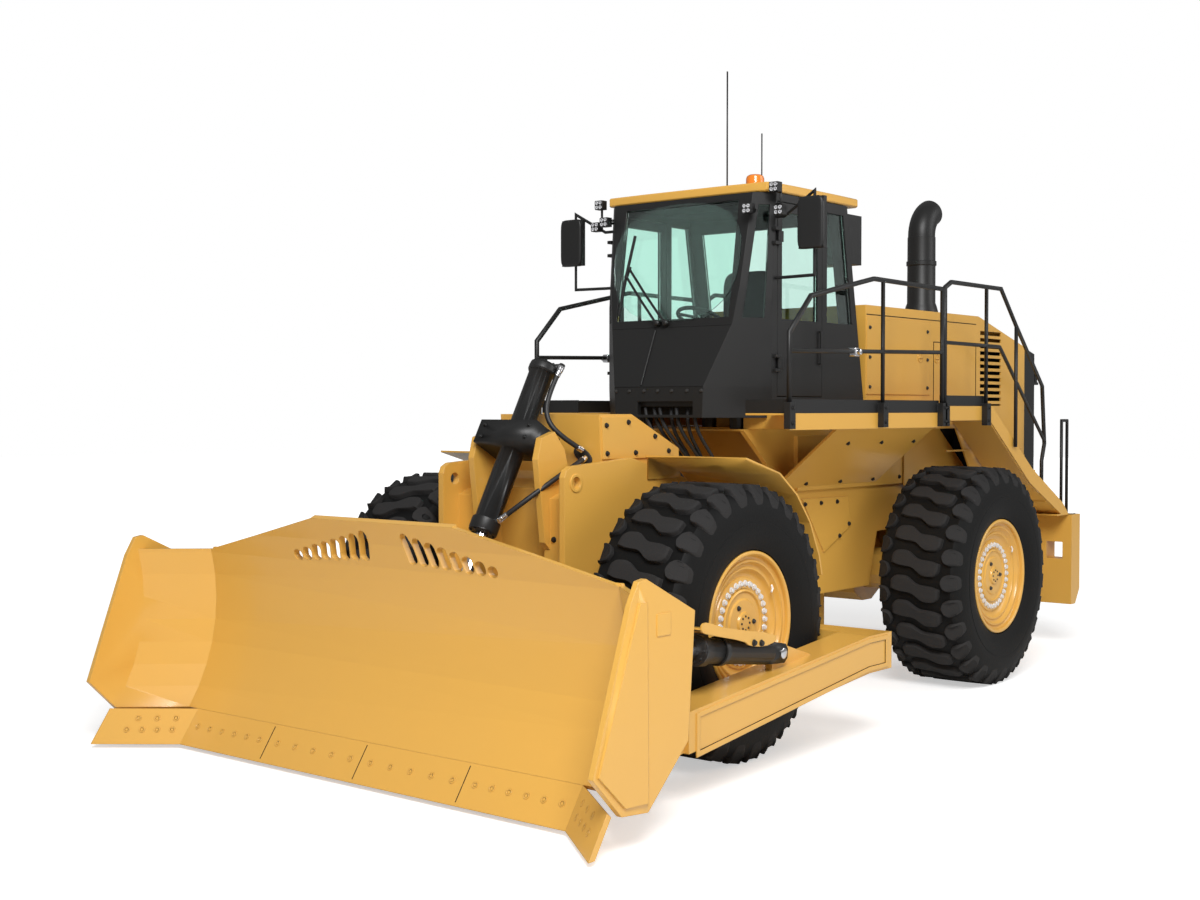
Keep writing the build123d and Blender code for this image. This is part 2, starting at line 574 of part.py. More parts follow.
# Leaning panel that carries the walkway on the side plate.
lean_top = FRAME_TOP - GAP
lean = prism_y([(REAR_X - 1, 1640), (1130, lean_top), (1100, lean_top), (REAR_X - 1, 1670)], -150, 1390)
rear_frame = rear_plate + lean
rear_frame += mirror(rear_frame, Plane.YZ)
for x0, x1, y0, y1, z0, z1 in (
    (-inside, inside, 1000, 1060, 820, 1700),
    (-inside, inside, 2360, 2420, 820, SHELF_Z),
    (-inside, inside, REAR_END - 460, REAR_END - 400, 820, SHELF_Z),
    (-inside, inside, REAR_END - 60, REAR_END, 920, 1270),
    (-inside, inside, PLATE_FRONT, PLATE_FRONT + 180, FRAME_TOP - 15, FRAME_TOP),
    (-inside, inside, 400, 500, 1800, FRAME_TOP),
    (-250, 250, 1000, 1360, 1000, 1300),
    (-250, 250, 1300, 1360, 740, 1300),
    (-250, 250, 2345, 2405, 740, 1300),
    (-300, 300, 1000, 1060, 400, 1700),
):
    rear_frame += block(x0, x1, y0, y1, z0, z1)
for x0, x1 in ((REAR_X - 1, HOOD_X), (-HOOD_X, 1 - REAR_X)):
    rear_frame += block(x0, x1, HOOD_FRONT, 2480, FRAME_TOP - 20, FRAME_TOP)
    rear_frame += block(x0, x1, SHELF_FRONT, REAR_END, SHELF_Z - 20, SHELF_Z)
rear_frame -= Pos(0, REAR_Y, TYRE_R) * Rot(0, 0, 90) * round_bar([(-600, NOSE_R + RUN), (600, 0)], 12)
for low in HITCH_Z:
    for z0 in (low - FORK_GAP - FORK_T, low + TONGUE_T + FORK_GAP):
        leaf = prism_z([(-HITCH_R, 0), (HITCH_R, 0), (300, 1010), (-300, 1010)], z0, z0 + FORK_T)
        leaf += disc(0, 0, z0, z0 + FORK_T, HITCH_R, 16)
        bore = PIN_CLEAR if low == HITCH_Z[0] else PIN_R + GAP
        rear_frame += leaf - disc(0, 0, z0 - 1, z0 + FORK_T + 1, bore, 16)
for sign in (1, -1):
    for z0 in (STEER_Z - LUG_HALF - 40, STEER_Z + LUG_HALF):
        x0, x1 = sorted((sign * 330, sign * 470))
        rear_frame += block(x0, x1, STEER_REAR[1], 1010, z0, z0 + 40)
        rear_frame += disc(sign * STEER_REAR[0], STEER_REAR[1], z0, z0 + 40, 60)
write("rear_frame", rear_frame)
pin_over = FORK_T + FORK_GAP + 15
low_pin, high_pin = [(z - pin_over, z + TONGUE_T + pin_over) for z in HITCH_Z]
write("hitch_pins", rod((0, 0, low_pin[0]), (0, 0, low_pin[1]), PIN_R), disc(0, 0, *high_pin, PIN_R, 16))
write("engine_block", block(-350, 350, 1500, 3300, SHELF_Z + GAP, 2600))

# ---------------------------------------------------------------- hood, shroud, guard and bumper
hood_foot = FRAME_TOP + GAP
shelf = SHELF_Z + GAP
hood_outline = [
    (HOOD_FRONT, hood_foot), (HOOD_FRONT, HOOD_TOP), (HOOD_BREAK, HOOD_TOP), (HOOD_END, HOOD_LOW),
    (HOOD_END, shelf), (SHELF_FRONT, shelf), (2480, hood_foot),
]
hood_core = [
    (HOOD_FRONT + HOOD_T, hood_foot - 30), (HOOD_FRONT + HOOD_T, HOOD_TOP - HOOD_T),
    (HOOD_BREAK, HOOD_TOP - HOOD_T), (HOOD_END + 1, HOOD_LOW - HOOD_T), (HOOD_END + 1, shelf - 30),
    (SHELF_FRONT - 60, shelf - 30), (2420, hood_foot - 30),
]
hood = prism_x(hood_outline, -HOOD_X, HOOD_X) - prism_x(hood_core, -HOOD_X + HOOD_T, HOOD_X - HOOD_T)
hood -= block(-HOOD_X - 1, HOOD_X + 1, *GRILLE)
SLAT_STEP = 60
for x0 in (-HOOD_X, HOOD_X - HOOD_T):
    for row in range(int((GRILLE[3] - GRILLE[2]) / SLAT_STEP)):
        z = GRILLE[2] + (row + 0.5) * SLAT_STEP
        hood += block(x0, x0 + HOOD_T, GRILLE[0] - 1, GRILLE[1] + 1, z - 14, z + 14)
# Raised service door and the low panel under it.
for x0 in (-HOOD_X - 8, HOOD_X - 1):
    hood += block(x0, x0 + 9, HOOD_FRONT + 10, 1986, 2400, 3020)
write("hood", hood)
SHROUD_X = 770
shroud_low = HOOD_LOW - 62
shroud_front = HOOD_END + GAP
shroud = prism_x([(shroud_front, shelf), (shroud_front, HOOD_LOW), (SHROUD_END, shroud_low),
                  (SHROUD_END, shelf)], -SHROUD_X, SHROUD_X)
shroud -= block(-690, 690, SHROUD_END - 120, SHROUD_END + 1, 1400, shroud_low - 70)
GUARD_X = 740
HINGE = (750, GUARD_END + 12)     # vertical axis of the guard: x, y
BUMPER_TOP = 1275
guard_top = shroud_low - 30
guard = block(-GUARD_X, GUARD_X, SHROUD_END + GAP, GUARD_END, 1330, guard_top)
guard -= block(-680, 680, SHROUD_END - 80, GUARD_END + 50, 1400, guard_top - 70)
for index in range(11):
    z = 1440 + index * 115
    guard += block(-681, 681, GUARD_END - 50, GUARD_END - 15, z, z + 30)
for x0 in (-725, 655):
    guard += block(x0, x0 + 70, 4249, 4285, 2600, 2700)
for z in (1480, 2580):
    guard += Pos(*HINGE, z) * Cylinder(KNUCKLE_R, KNUCKLE_H)
    guard += block(GUARD_X - 30, HINGE[0], GUARD_END - 5, HINGE[1], z - KNUCKLE_H / 2, z + KNUCKLE_H / 2)
    for z0 in leaf_heights(z):
        leaf = block(HINGE[0] - 9, SHROUD_X, SHROUD_END - 20, HINGE[1] + KNUCKLE_R, z0, z0 + LEAF_T)
        leaf -= block(HINGE[0] - 20, SHROUD_X - 15, SHROUD_END, HINGE[1] - 40, z0 - 1, z0 + LEAF_T + 1)
        shroud += leaf
write("radiator_guard", guard)
write("radiator", shroud)
bumper_front = REAR_END + GAP
bumper = prism_x([(bumper_front, 420), (bumper_front, BUMPER_TOP), (HALF_LENGTH, BUMPER_TOP),
                  (HALF_LENGTH, 560), (HALF_LENGTH - BUMPER_T / 2, 420)], -1190, 1190)
bumper -= block(-500, 500, REAR_END - 100, HALF_LENGTH + 100, 300, 700)
for sign in (1, -1):
    bumper -= Pos(sign * 1020, HALF_LENGTH - BUMPER_T / 2, 930) * Box(160, 400, 160)
write("rear_bumper", bumper)
TOW_HOLE_R = 35
TOW_Y = HALF_LENGTH - 90
tow = block(-140, 140, REAR_END - 60, REAR_END, 480, 920 - GAP)
for z0 in (500, 640):
    tow += prism_z([(-130, REAR_END - 1), (130, REAR_END - 1), (80, TOW_Y + 70), (-80, TOW_Y + 70)],
                   z0, z0 + 40)
tow -= rod((0, TOW_Y, 480), (0, TOW_Y, 700), TOW_HOLE_R)
write("tow_hitch", tow)

# ---------------------------------------------------------------- walkways, steps and rails
WALK_FRONT = -850
WALK_BREAK = 1437               # here the walkway rises to its second level
WALK_END = 2292
SECOND_Z = 2305
STAIR_END = REAR_END - 150
STAIR_LOW = 1290
DECK_IN = HOOD_X + 6
PLANK_T = 15
STEPS = 7
walk = block(DECK_IN, DECK_OUT, WALK_FRONT, WALK_BREAK, DECK_Z - PLANK_T, DECK_Z)
walk += block(DECK_OUT - 30, DECK_OUT, WALK_FRONT, WALK_BREAK, FRAME_TOP, DECK_Z)
walk += block(DECK_IN + 4, DECK_OUT, WALK_BREAK - 1, WALK_END, SECOND_Z - PLANK_T, SECOND_Z)
walk += block(DECK_OUT - 30, DECK_OUT, WALK_BREAK - 10, WALK_END, 2183, SECOND_Z)
walk += block(DECK_IN + 4, DECK_OUT, WALK_BREAK - PLANK_T, WALK_BREAK, DECK_Z - 10, SECOND_Z)
walk += block(inside, DECK_OUT - 1, PLATE_FRONT + 50, PLATE_FRONT + 170, FRAME_TOP + GAP, DECK_Z - PLANK_T + 1)
walk += block(HOOD_X + GAP, DECK_OUT - 1, WALK_BREAK - 100, WALK_BREAK, FRAME_TOP + GAP, DECK_Z - PLANK_T + 1)
stringer = [
    (WALK_END - 1, SECOND_Z), (WALK_END - 1, 2183), (2383, 2176), (3219, 1607), (STAIR_END, STAIR_LOW - 14),
    (REAR_END - 10, STAIR_LOW - 14), (REAR_END - 10, STAIR_LOW), (STAIR_END, STAIR_LOW + 110), (3260, 1740), (2420, SECOND_Z),
]
walk += prism_x(stringer, DECK_OUT - 12, DECK_OUT)
walk += block(DECK_IN + 4, DECK_OUT, STAIR_END - 120, REAR_END - 10, STAIR_LOW - 14, STAIR_LOW)
for step in range(1, STEPS):
    y = WALK_END + step * (STAIR_END - WALK_END) / STEPS
    z = SECOND_Z - step * (SECOND_Z - STAIR_LOW) / STEPS
    walk += block(DECK_IN + 4, DECK_OUT - 11, y - 110, y + 110, z - PLANK_T, z)
walk += block(HOOD_X + GAP, HOOD_X + 11, WALK_END, STAIR_END - 100, SECOND_Z - 400, SECOND_Z - 385)
write("platforms", both(walk))
KICK_T = 10
kick_x = DECK_OUT - KICK_T
FIRST_POSTS = (-890, 444, WALK_BREAK - 8)
SECOND_POSTS = (WALK_BREAK + 39, 2247)
kicks = [block(kick_x, DECK_OUT, WALK_FRONT, WALK_BREAK - 20, DECK_Z + GAP, DECK_Z + 100),
         block(kick_x, DECK_OUT, WALK_BREAK + 10, WALK_END, SECOND_Z + GAP, SECOND_Z + 88),
         block(DECK_IN, kick_x - GAP, WALK_FRONT, WALK_FRONT + KICK_T, DECK_Z + GAP, DECK_Z + 100)]
for y in FIRST_POSTS + SECOND_POSTS:
    kicks.append(block(RAIL_X - RAIL_R, RAIL_X + 32, y - 36, y + 36, 2140, SOCKET_Z - GAP))
write("kick_plates", *[both(piece) for piece in kicks])
rails = bar([(RAIL_X, FIRST_POSTS[0], SOCKET_Z), (RAIL_X, FIRST_POSTS[0], 2820), (RAIL_X, -605, 3090),
             (RAIL_X, 300, 3269), (RAIL_X, FIRST_POSTS[2], 3258), (RAIL_X, FIRST_POSTS[2], SOCKET_Z)], RAIL_R)
rails += bar([(RAIL_X, -893, 2690), (RAIL_X, FIRST_POSTS[2], 2742)], RAIL_R * 0.8)
rails += bar([(RAIL_X, FIRST_POSTS[1], SOCKET_Z), (RAIL_X, FIRST_POSTS[1], 3265)], RAIL_R * 0.9)
rear_rails = bar([(RAIL_X, SECOND_POSTS[0], SOCKET_Z), (RAIL_X, SECOND_POSTS[0], 3275),
                  (RAIL_X, 1585, 3325), (RAIL_X, 2533, 3325), (RAIL_X, 2836, 3028), (950, STAIR_END, 2500),
                  (950, STAIR_END + 60, 1950), (950, STAIR_END, 1790), (950, STAIR_END, STAIR_LOW + GAP)],
                 RAIL_R)
rear_rails += bar([(RAIL_X, SECOND_POSTS[0], 2826), (RAIL_X, 2510, 2821), (956, STAIR_END + 50, 1975)],
                  RAIL_R * 0.8)
rear_rails += bar([(RAIL_X, SECOND_POSTS[1], SOCKET_Z), (RAIL_X, SECOND_POSTS[1], 3320)], RAIL_R * 0.9)
rear_rails += bar([(RAIL_X, 2850, 1943), (RAIL_X, 2850, 3005)], RAIL_R * 0.9)
grab_foot = BUMPER_TOP + GAP
grab = bar([(1070, 4130, grab_foot), (1070, 4130, 2170), (1070, 4260, 2170), (1070, 4260, grab_foot)], 16)
write("handrails", both(rails), both(rear_rails), both(grab))

# ---------------------------------------------------------------- cab
def flip(point):
    return (-point[0], *point[1:])


NOSE_SEAM = (*NOSE, SEAM_Z)
BROW_TOP = (*BROW, CAB_TOP)
CAB_MID = Vector(0, 0, 3000)
# Panels that aren't square to the machine, three corners each. The sill is a crease between the
# nose and the windscreen, so these two trim only what is below or above it.
NOSE_PANEL = (SILL, flip(SILL), NOSE_SEAM)
WINDSCREEN = (SILL, flip(SILL), BROW_TOP)
CORNER_PANELS = (
    (SILL, NOSE_SEAM, HIP), (flip(SILL), flip(NOSE_SEAM), flip(HIP)),
    (SILL, BROW_TOP, SHOULDER), (flip(SILL), flip(BROW_TOP), flip(SHOULDER)),
    (NOSE_SEAM, HIP, (*NOSE, SKIRT_Z)), (flip(NOSE_SEAM), flip(HIP), (-NOSE[0], NOSE[1], SKIRT_Z)),
    ((0, CAB_FOOT, CAB_FLOOR), (100, CAB_FOOT, CAB_FLOOR), (0, CAB_NECK, CAB_TOP)),
)


def cab_form(inset, low, high):
    """The cab's outer form with every panel moved in by inset, between two heights."""
    form = Part()
    crease = SILL[2]
    for z0, z1, front in ((low, min(high, crease), NOSE_PANEL), (max(low, crease), high, WINDSCREEN)):
        if z1 <= z0:
            continue
        shape = block(-CAB_X + inset, CAB_X - inset, NOSE[1] + inset, CAB_FOOT, z0, z1)
        for corners in (front, *CORNER_PANELS):
            a, b, c = (Vector(*corner) for corner in corners)
            out = (b - a).cross(c - a).normalized()
            if out.dot(CAB_MID - a) > 0:
                out = out * -1
            outside = Plane(origin=a - out * inset, z_dir=out)
            shape -= outside * Box(9000, 9000, 2000, align=(Align.CENTER, Align.CENTER, Align.MIN))
        form += shape
    return form


FLOOR_EDGE = -500               # the skirt hangs in front of it
w = CAB_WALL
cab = cab_form(0, SKIRT_Z, CAB_TOP) - block(-900, 900, FLOOR_EDGE, 1000, SKIRT_Z - 1, CAB_FLOOR)
cab -= cab_form(w, CAB_FLOOR + w, CAB_TOP + 1)
cab -= cab_form(w, SKIRT_Z - 1, CAB_FLOOR) & block(-900, 900, -1000, FLOOR_EDGE - w, SKIRT_Z - 2, CAB_FLOOR + 1)
cab -= block(-195, 322, NOSE[1] - 1, NOSE[1] + w + 1, 2237, 2336)
corner_out = (Vector(*BROW_TOP) - Vector(*SILL)).cross(Vector(*SHOULDER) - Vector(*SILL)).normalized()
if corner_out.X < 0:
    corner_out = corner_out * -1
corner_plane = Plane(origin=SILL, x_dir=(-corner_out.Y, corner_out.X, 0), z_dir=corner_out)


def corner_window(shrink):
    """Tall quarter window in the upper corner panel."""
    s = shrink
    outline = [(62 + s, 45 + s), (228 - s, 45 + s), (278 - s, 880 - s), (192 + s, 880 - s)]
    shape = extrude(corner_plane * make_face(Polyline(*outline, close=True)), 60, both=True)
    return shape + mirror(shape, Plane.YZ)


def cab_windows(shrink):
    """Cutters for the cab's fixed windows: windscreen, rear, rear sides and quarter windows."""
    s = shrink
    side = [(300 + s, SILL_Z + s), (300 + s, HEAD_Z - s), (545 - s, HEAD_Z - s), (690 - s, SILL_Z + s)]
    return [block(-530 + s, 530 - s, -1000, -450, SILL_Z + 10 + s, 3830 - s),
            block(-620 + s, 620 - s, 500, 1000, SILL_Z + s, 3750 - s),
            prism_x(side, -900, 900), corner_window(s)]


for cutter in cab_windows(0):
    cab -= cutter
cab -= block(-900, 900, *DOOR_Y, *DOOR_Z)
DOOR_GAP = 6
DOOR_RIM = 60           # frame round the door's pane
DOOR_HEAD = DOOR_Z[1] - 76
HANDLE_Z = (2620, 2880)
DOOR_HINGE = (CAB_X + 14, DOOR_Y[0] + DOOR_GAP)
HINGE_ZS = (2620, 3560)
for z in HINGE_ZS:
    for z0 in leaf_heights(z):
        leaf = block(CAB_X - 10, DOOR_HINGE[0] + KNUCKLE_R, DOOR_Y[0] - 60, DOOR_HINGE[1] + 10,
                     z0, z0 + LEAF_T)
        leaf -= block(CAB_X - 20, CAB_X + GAP, DOOR_Y[0], DOOR_Y[0] + 50, z0 - 1, z0 + LEAF_T + 1)
        cab += both(leaf)
write("cab_shell", cab)
GLASS_IN = 18
GLASS_T = 8
skin = cab_form(GLASS_IN, CAB_FLOOR + w, CAB_TOP) - cab_form(GLASS_IN + GLASS_T, CAB_FLOOR + w - 1, CAB_TOP + 1)
write("cab_glass", *[skin & cutter for cutter in cab_windows(GAP)])
ROOF_X = 780


def roof_height(x):
    """Height of the crowned roof at a distance x from the middle."""
    share = abs(x) / ROOF_X
    return ROOF_EDGE + ROOF_RISE * (1 - share / 2 if share < 0.5 else 1.5 * (1 - share))


crown = [(x, roof_height(x)) for x in (ROOF_X, ROOF_X / 2, 0, -ROOF_X / 2, -ROOF_X)]
ROOF_Y = (-530, 800)
roof = prism_y([(-ROOF_X, CAB_TOP + GAP), (ROOF_X, CAB_TOP + GAP)] + crown, *ROOF_Y)
for sign in (1, -1):
    for end in ROOF_Y:
        roof -= Pos(sign * ROOF_X, end, 3950) * Rot(0, 0, 45) * Box(85, 85, 200)
write("cab_roof", roof)
mounts = []
for sign in (1, -1):
    for y in (-440, 440):
        mounts.append(disc(sign * 440, y, FRAME_TOP + GAP, CAB_FLOOR - GAP, 60))
write("cab_mounts", mounts)
for side, sign in (("left", 1), ("right", -1)):
    x0, x1 = CAB_X - w, CAB_X
    front, back = DOOR_Y[0] + DOOR_GAP, DOOR_Y[1] - DOOR_GAP
    door = block(x0, x1, front, back, DOOR_Z[0] + DOOR_GAP, DOOR_Z[1] - DOOR_GAP)
    door -= block(x0 - 5, x1 + 5, front + DOOR_RIM, back - DOOR_RIM, SILL_Z, DOOR_HEAD)
    for z in HINGE_ZS:
        for z0 in leaf_heights(z):
            door -= block(CAB_X - 14, CAB_X + 1, front - 1, front + 12, z0 - 5, z0 + LEAF_T + 5)
        door += Pos(*DOOR_HINGE, z) * Cylinder(KNUCKLE_R, KNUCKLE_H)
        door += block(x0, DOOR_HINGE[0], DOOR_HINGE[1], DOOR_HINGE[1] + 60,
                      z - KNUCKLE_H / 2, z + KNUCKLE_H / 2)
    # Pull handle on the rear edge.
    for z0 in (HANDLE_Z[0], HANDLE_Z[1] - 15):
        door += block(x1 - 1, x1 + 25, back - 50, back - 30, z0, z0 + 15)
    door += block(x1 + 14, x1 + 25, back - 50, back - 30, *HANDLE_Z)
    pane = block(x0 + GLASS_IN, x0 + GLASS_IN + GLASS_T, front + DOOR_RIM + GAP, back - DOOR_RIM - GAP,
                 SILL_Z + GAP, DOOR_HEAD - GAP)
    if sign < 0:
        door, pane = mirror(door, Plane.YZ), mirror(pane, Plane.YZ)
    write(f"cab_door_{side}", door)
    write(f"door_glass_{side}", pane)
floor = CAB_FLOOR + CAB_WALL
SEAT_Z = floor + 320
pedestal = block(-200, 200, -120, 320, floor + GAP, SEAT_Z)
pedestal += block(-255, -195, 0, 200, floor + GAP, SEAT_Z - 20)
write("seat_base", pedestal + block(-350, -250, -100, 300, floor + GAP, floor + 450))
write("seat_cushion", block(-240, 240, -160, 330, SEAT_Z + GAP, SEAT_Z + 120))
write("seat_back", block(-240, 240, 330 + GAP, 450, SEAT_Z + 10, SEAT_Z + 730))
console = block(-60, 60, -480, -360, floor + GAP, floor + 60)
console += post((0, -420, floor + 30), (0, -300, floor + 560), 35, 8)
write("console", console + post((0, -330, floor + 540), (0, -310, floor + 570), 190, 16))

# ---------------------------------------------------------------- exhaust, air cleaner, lamps, mirrors
foot = HOOD_TOP + GAP
SILENCER_TOP = 3700
stack = post((300, 2750, foot), (300, 2750, foot + 60), 165)
stack += post((300, 2750, foot + 59), (300, 2750, SILENCER_TOP), 126)
stack += bar([(300, 2750, SILENCER_TOP - 1), (300, 2750, 4000), (300, 2790, 4100), (300, 2880, 4190),
              (300, 2990, 4230)], 98)
write("exhaust_stack", stack)


def rear_wall(z):
    """How far back the cab's sloping rear wall lies at height z."""
    return CAB_FOOT + (CAB_NECK - CAB_FOOT) * (z - CAB_FLOOR) / (CAB_TOP - CAB_FLOOR)


AC_Z = (3433, 3825)
seat = GAP * 1.1
low, high = AC_Z
write("air_unit", prism_x([(rear_wall(low) + seat, low), (rear_wall(high) + seat, high), (848, high),
                           (848, low)], 450, 760))
# Work lamps on a bracket at each side of the cab, and one on the windscreen pillar.
LAMP = 36               # half the width of a lamp


def lamp_box(x, y, z):
    return block(x - LAMP, x + LAMP, y - 60, y, z - LAMP, z + LAMP)


bracket = bar([(CAB_X + GAP, -425, 3790), (810, -425, 3790), (845, -480, 3790)], 10)
bracket += bar([(845, -480, 3700), (845, -480, 3940)], 10)
bracket += lamp_box(824, -489, 3905) + lamp_box(864, -489, 3734)
pillar_lamp = lamp_box(671, -615, 3747) + post((671, -616, 3747), (671, -552.3, 3747), 10, 6)
lamps = both(bracket) + both(pillar_lamp)
for x, y, top, radius, sides in ((500, -300, 4105, 55, 12), (-100, 200, 4990, 7, 6), (100, 400, 4500, 6, 6)):
    base = roof_height(x - radius * math.copysign(1, x)) + GAP
    lamps.append(disc(x, y, base, top, radius, sides))
write("roof_fittings", lamps)
loop = bar([(CAB_X + GAP, -430, 3250), (850, -430, 3250), (1127, -470, 3250), (1127, -470, 3860),
            (850, -430, 3700), (CAB_X + GAP, -430, 3700)], 12)
write("mirrors", both(loop + block(1022, 1232, -520, -478, 3440, 3810)))
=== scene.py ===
# %% [markdown]
# # A wheel dozer, dressed for the studio
#
# The solids of the machine come from the CAD part. This lesson gives them paint, rubber, chrome and
# glass, and adds the pieces that are too small or too curved for the CAD. +Y points to the rear of the
# machine, +X to its left side and +Z up, all in metres. Every new piece is a surface of two
# parameters, worked out with numpy, because one formula then gives all its points at once.

# %% Load the CAD part
import bmesh
import bpy
import json
import math
import numpy as np
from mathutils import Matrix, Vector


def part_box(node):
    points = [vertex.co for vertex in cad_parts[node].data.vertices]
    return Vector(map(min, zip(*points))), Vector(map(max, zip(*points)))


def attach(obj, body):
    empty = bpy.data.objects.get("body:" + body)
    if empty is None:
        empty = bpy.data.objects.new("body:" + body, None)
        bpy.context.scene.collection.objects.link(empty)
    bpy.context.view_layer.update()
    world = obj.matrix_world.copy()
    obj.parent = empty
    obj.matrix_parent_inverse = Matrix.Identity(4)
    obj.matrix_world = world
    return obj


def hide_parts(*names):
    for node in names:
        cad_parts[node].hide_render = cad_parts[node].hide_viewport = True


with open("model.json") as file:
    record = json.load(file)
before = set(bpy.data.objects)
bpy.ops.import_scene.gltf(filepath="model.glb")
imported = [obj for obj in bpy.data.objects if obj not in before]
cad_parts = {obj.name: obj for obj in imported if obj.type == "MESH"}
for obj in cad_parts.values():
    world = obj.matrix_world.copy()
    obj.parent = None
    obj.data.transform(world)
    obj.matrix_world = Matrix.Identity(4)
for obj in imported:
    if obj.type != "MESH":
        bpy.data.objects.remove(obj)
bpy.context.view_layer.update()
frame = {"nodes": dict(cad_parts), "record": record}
nodes = frame["nodes"]
scene = bpy.context.scene

# %% [markdown]
# ## Shared effects
#
# Pressed and welded steel has no sharp edges, its paint has a fine peel, and dust settles low down.
# Both effects are node groups, so that each finish sets them by name. First come the helpers.

# %% Helpers for shader nodes


def new_group(name, inputs, outputs):
    """An empty shader node group with inputs (name, default) and outputs (name, socket type)."""
    group = bpy.data.node_groups.new(name, "ShaderNodeTree")
    for label, default in inputs:
        socket = group.interface.new_socket(label, in_out="INPUT", socket_type="NodeSocketFloat")
        socket.default_value = default
    for label, kind in outputs:
        group.interface.new_socket(label, in_out="OUTPUT", socket_type=kind)
    return group, group.nodes.new("NodeGroupInput"), group.nodes.new("NodeGroupOutput")


def add_node(tree, kind):
    """A new shader node of a kind."""
    return tree.nodes.new("ShaderNode" + kind)


def wire(tree, source, output, target, given):
    """Joins an output of one node to an input of another."""
    tree.links.new(source.outputs[output], target.inputs[given])


def fill(node, **values):
    """Sets inputs of a node by name, with _ for each space."""
    for label, value in values.items():
        node.inputs[label.replace("_", " ")].default_value = value


def math_node(tree, operation):
    """A math node that works on two values."""
    node = add_node(tree, "Math")
    node.operation = operation
    return node


def object_noise(tree, detail):
    """A noise texture on Object coordinates, so that the pattern stays on the piece."""
    place = add_node(tree, "TexCoord")
    noise = add_node(tree, "TexNoise")
    fill(noise, Detail=detail)
    wire(tree, place, "Object", noise, "Vector")
    return noise

print("helpers for shader nodes are ready")

# %% [markdown]
# Bevels on every mesh could round the edges, but a Bevel node rounds the normals alone and leaves the
# CAD's shape. A bump by fine noise is the peel.

# %% Soft edges and peel


def surface_group():
    """Normals of a surface whose edges are rounded by Radius and that ripples by Depth at Scale."""
    knobs = [("Radius", 0.008), ("Scale", 220.0), ("Depth", 0.0004)]
    group, given, result = new_group("Soft edges and peel", knobs, [("Normal", "NodeSocketVector")])
    bevel = add_node(group, "Bevel")
    bevel.samples = 4
    bump = add_node(group, "Bump")
    fill(bump, Strength=0.6)
    noise = object_noise(group, 2)
    wire(group, given, "Radius", bevel, "Radius")
    wire(group, given, "Scale", noise, "Scale")
    wire(group, given, "Depth", bump, "Distance")
    wire(group, noise, "Fac", bump, "Height")
    wire(group, bevel, "Normal", bump, "Normal")
    wire(group, bump, "Normal", result, "Normal")
    return group

SURFACE = surface_group()
print(SURFACE.name, "has", len(SURFACE.nodes), "nodes")

# %% [markdown]
# Dust is a mask, not a layer of its own: clouds of noise that fade with the height above the ground.

# %% Dust


def dust_group():
    """Mask of dust: clouds of noise, times how far the point lies below Top, times Amount."""
    knobs = [("Amount", 0.3), ("Top", 1.6)]
    group, given, result = new_group("Dust", knobs, [("Mask", "NodeSocketFloat")])
    noise = object_noise(group, 5)
    fill(noise, Scale=2.5)
    place = add_node(group, "TexCoord")
    split = add_node(group, "SeparateXYZ")
    fall = add_node(group, "MapRange")
    clouds = math_node(group, "MULTIPLY")
    amount = math_node(group, "MULTIPLY")
    wire(group, place, "Object", split, "Vector")
    wire(group, split, "Z", fall, "Value")
    wire(group, given, "Top", fall, "From Min")
    fill(fall, From_Max=0.0)
    wire(group, noise, "Fac", clouds, 0)
    wire(group, fall, "Result", clouds, 1)
    wire(group, clouds, "Value", amount, 0)
    wire(group, given, "Amount", amount, 1)
    wire(group, amount, "Value", result, "Mask")
    return group


DUST = dust_group()
print(DUST.name, "has", len(DUST.nodes), "nodes")

# %% [markdown]
# ## Finishes
#
# The machine shows two paints, tyre rubber, chrome rods, zinc nuts, castings, cloth and green glass.
# Each is one Principled material. Images could bring the dirt, but noise on Object coordinates needs
# no unwrapping. A number that is the same all over is set on the shader's own socket.

# %% Materials
DUST_COLOR = (0.3, 0.26, 0.2, 1.0)


def finish(name, color, roughness, metallic=0.0, radius=0.008, scale=220.0, depth=0.0004,
           dust=0.0, coat=0.0, gloss=0.5):
    """A material from one clean colour, with the dust and surface groups set by name."""
    material = bpy.data.materials.new(name)
    material.use_nodes = True
    tree = material.node_tree
    shader = tree.nodes["Principled BSDF"]
    fill(shader, Roughness=roughness, Metallic=metallic, Specular_IOR_Level=gloss, Coat_Weight=coat,
         Coat_Roughness=0.12)
    surface = add_node(tree, "Group")
    surface.node_tree = SURFACE
    fill(surface, Radius=radius, Scale=scale, Depth=depth)
    wire(tree, surface, "Normal", shader, "Normal")
    mask = add_node(tree, "Group")
    mask.node_tree = DUST
    fill(mask, Amount=dust)
    blend = add_node(tree, "Mix")
    blend.data_type = "RGBA"
    fill(blend, A=(*color, 1.0), B=DUST_COLOR)
    wire(tree, mask, "Mask", blend, "Factor")
    wire(tree, blend, "Result", shader, "Base Color")
    return material


def clear_finish(name, color, roughness):
    """A see-through material, such as tinted glass."""
    material = bpy.data.materials.new(name)
    material.use_nodes = True
    shader = material.node_tree.nodes["Principled BSDF"]
    fill(shader, Base_Color=(*color, 1.0), Roughness=roughness, Transmission_Weight=1.0, IOR=1.4)
    return material


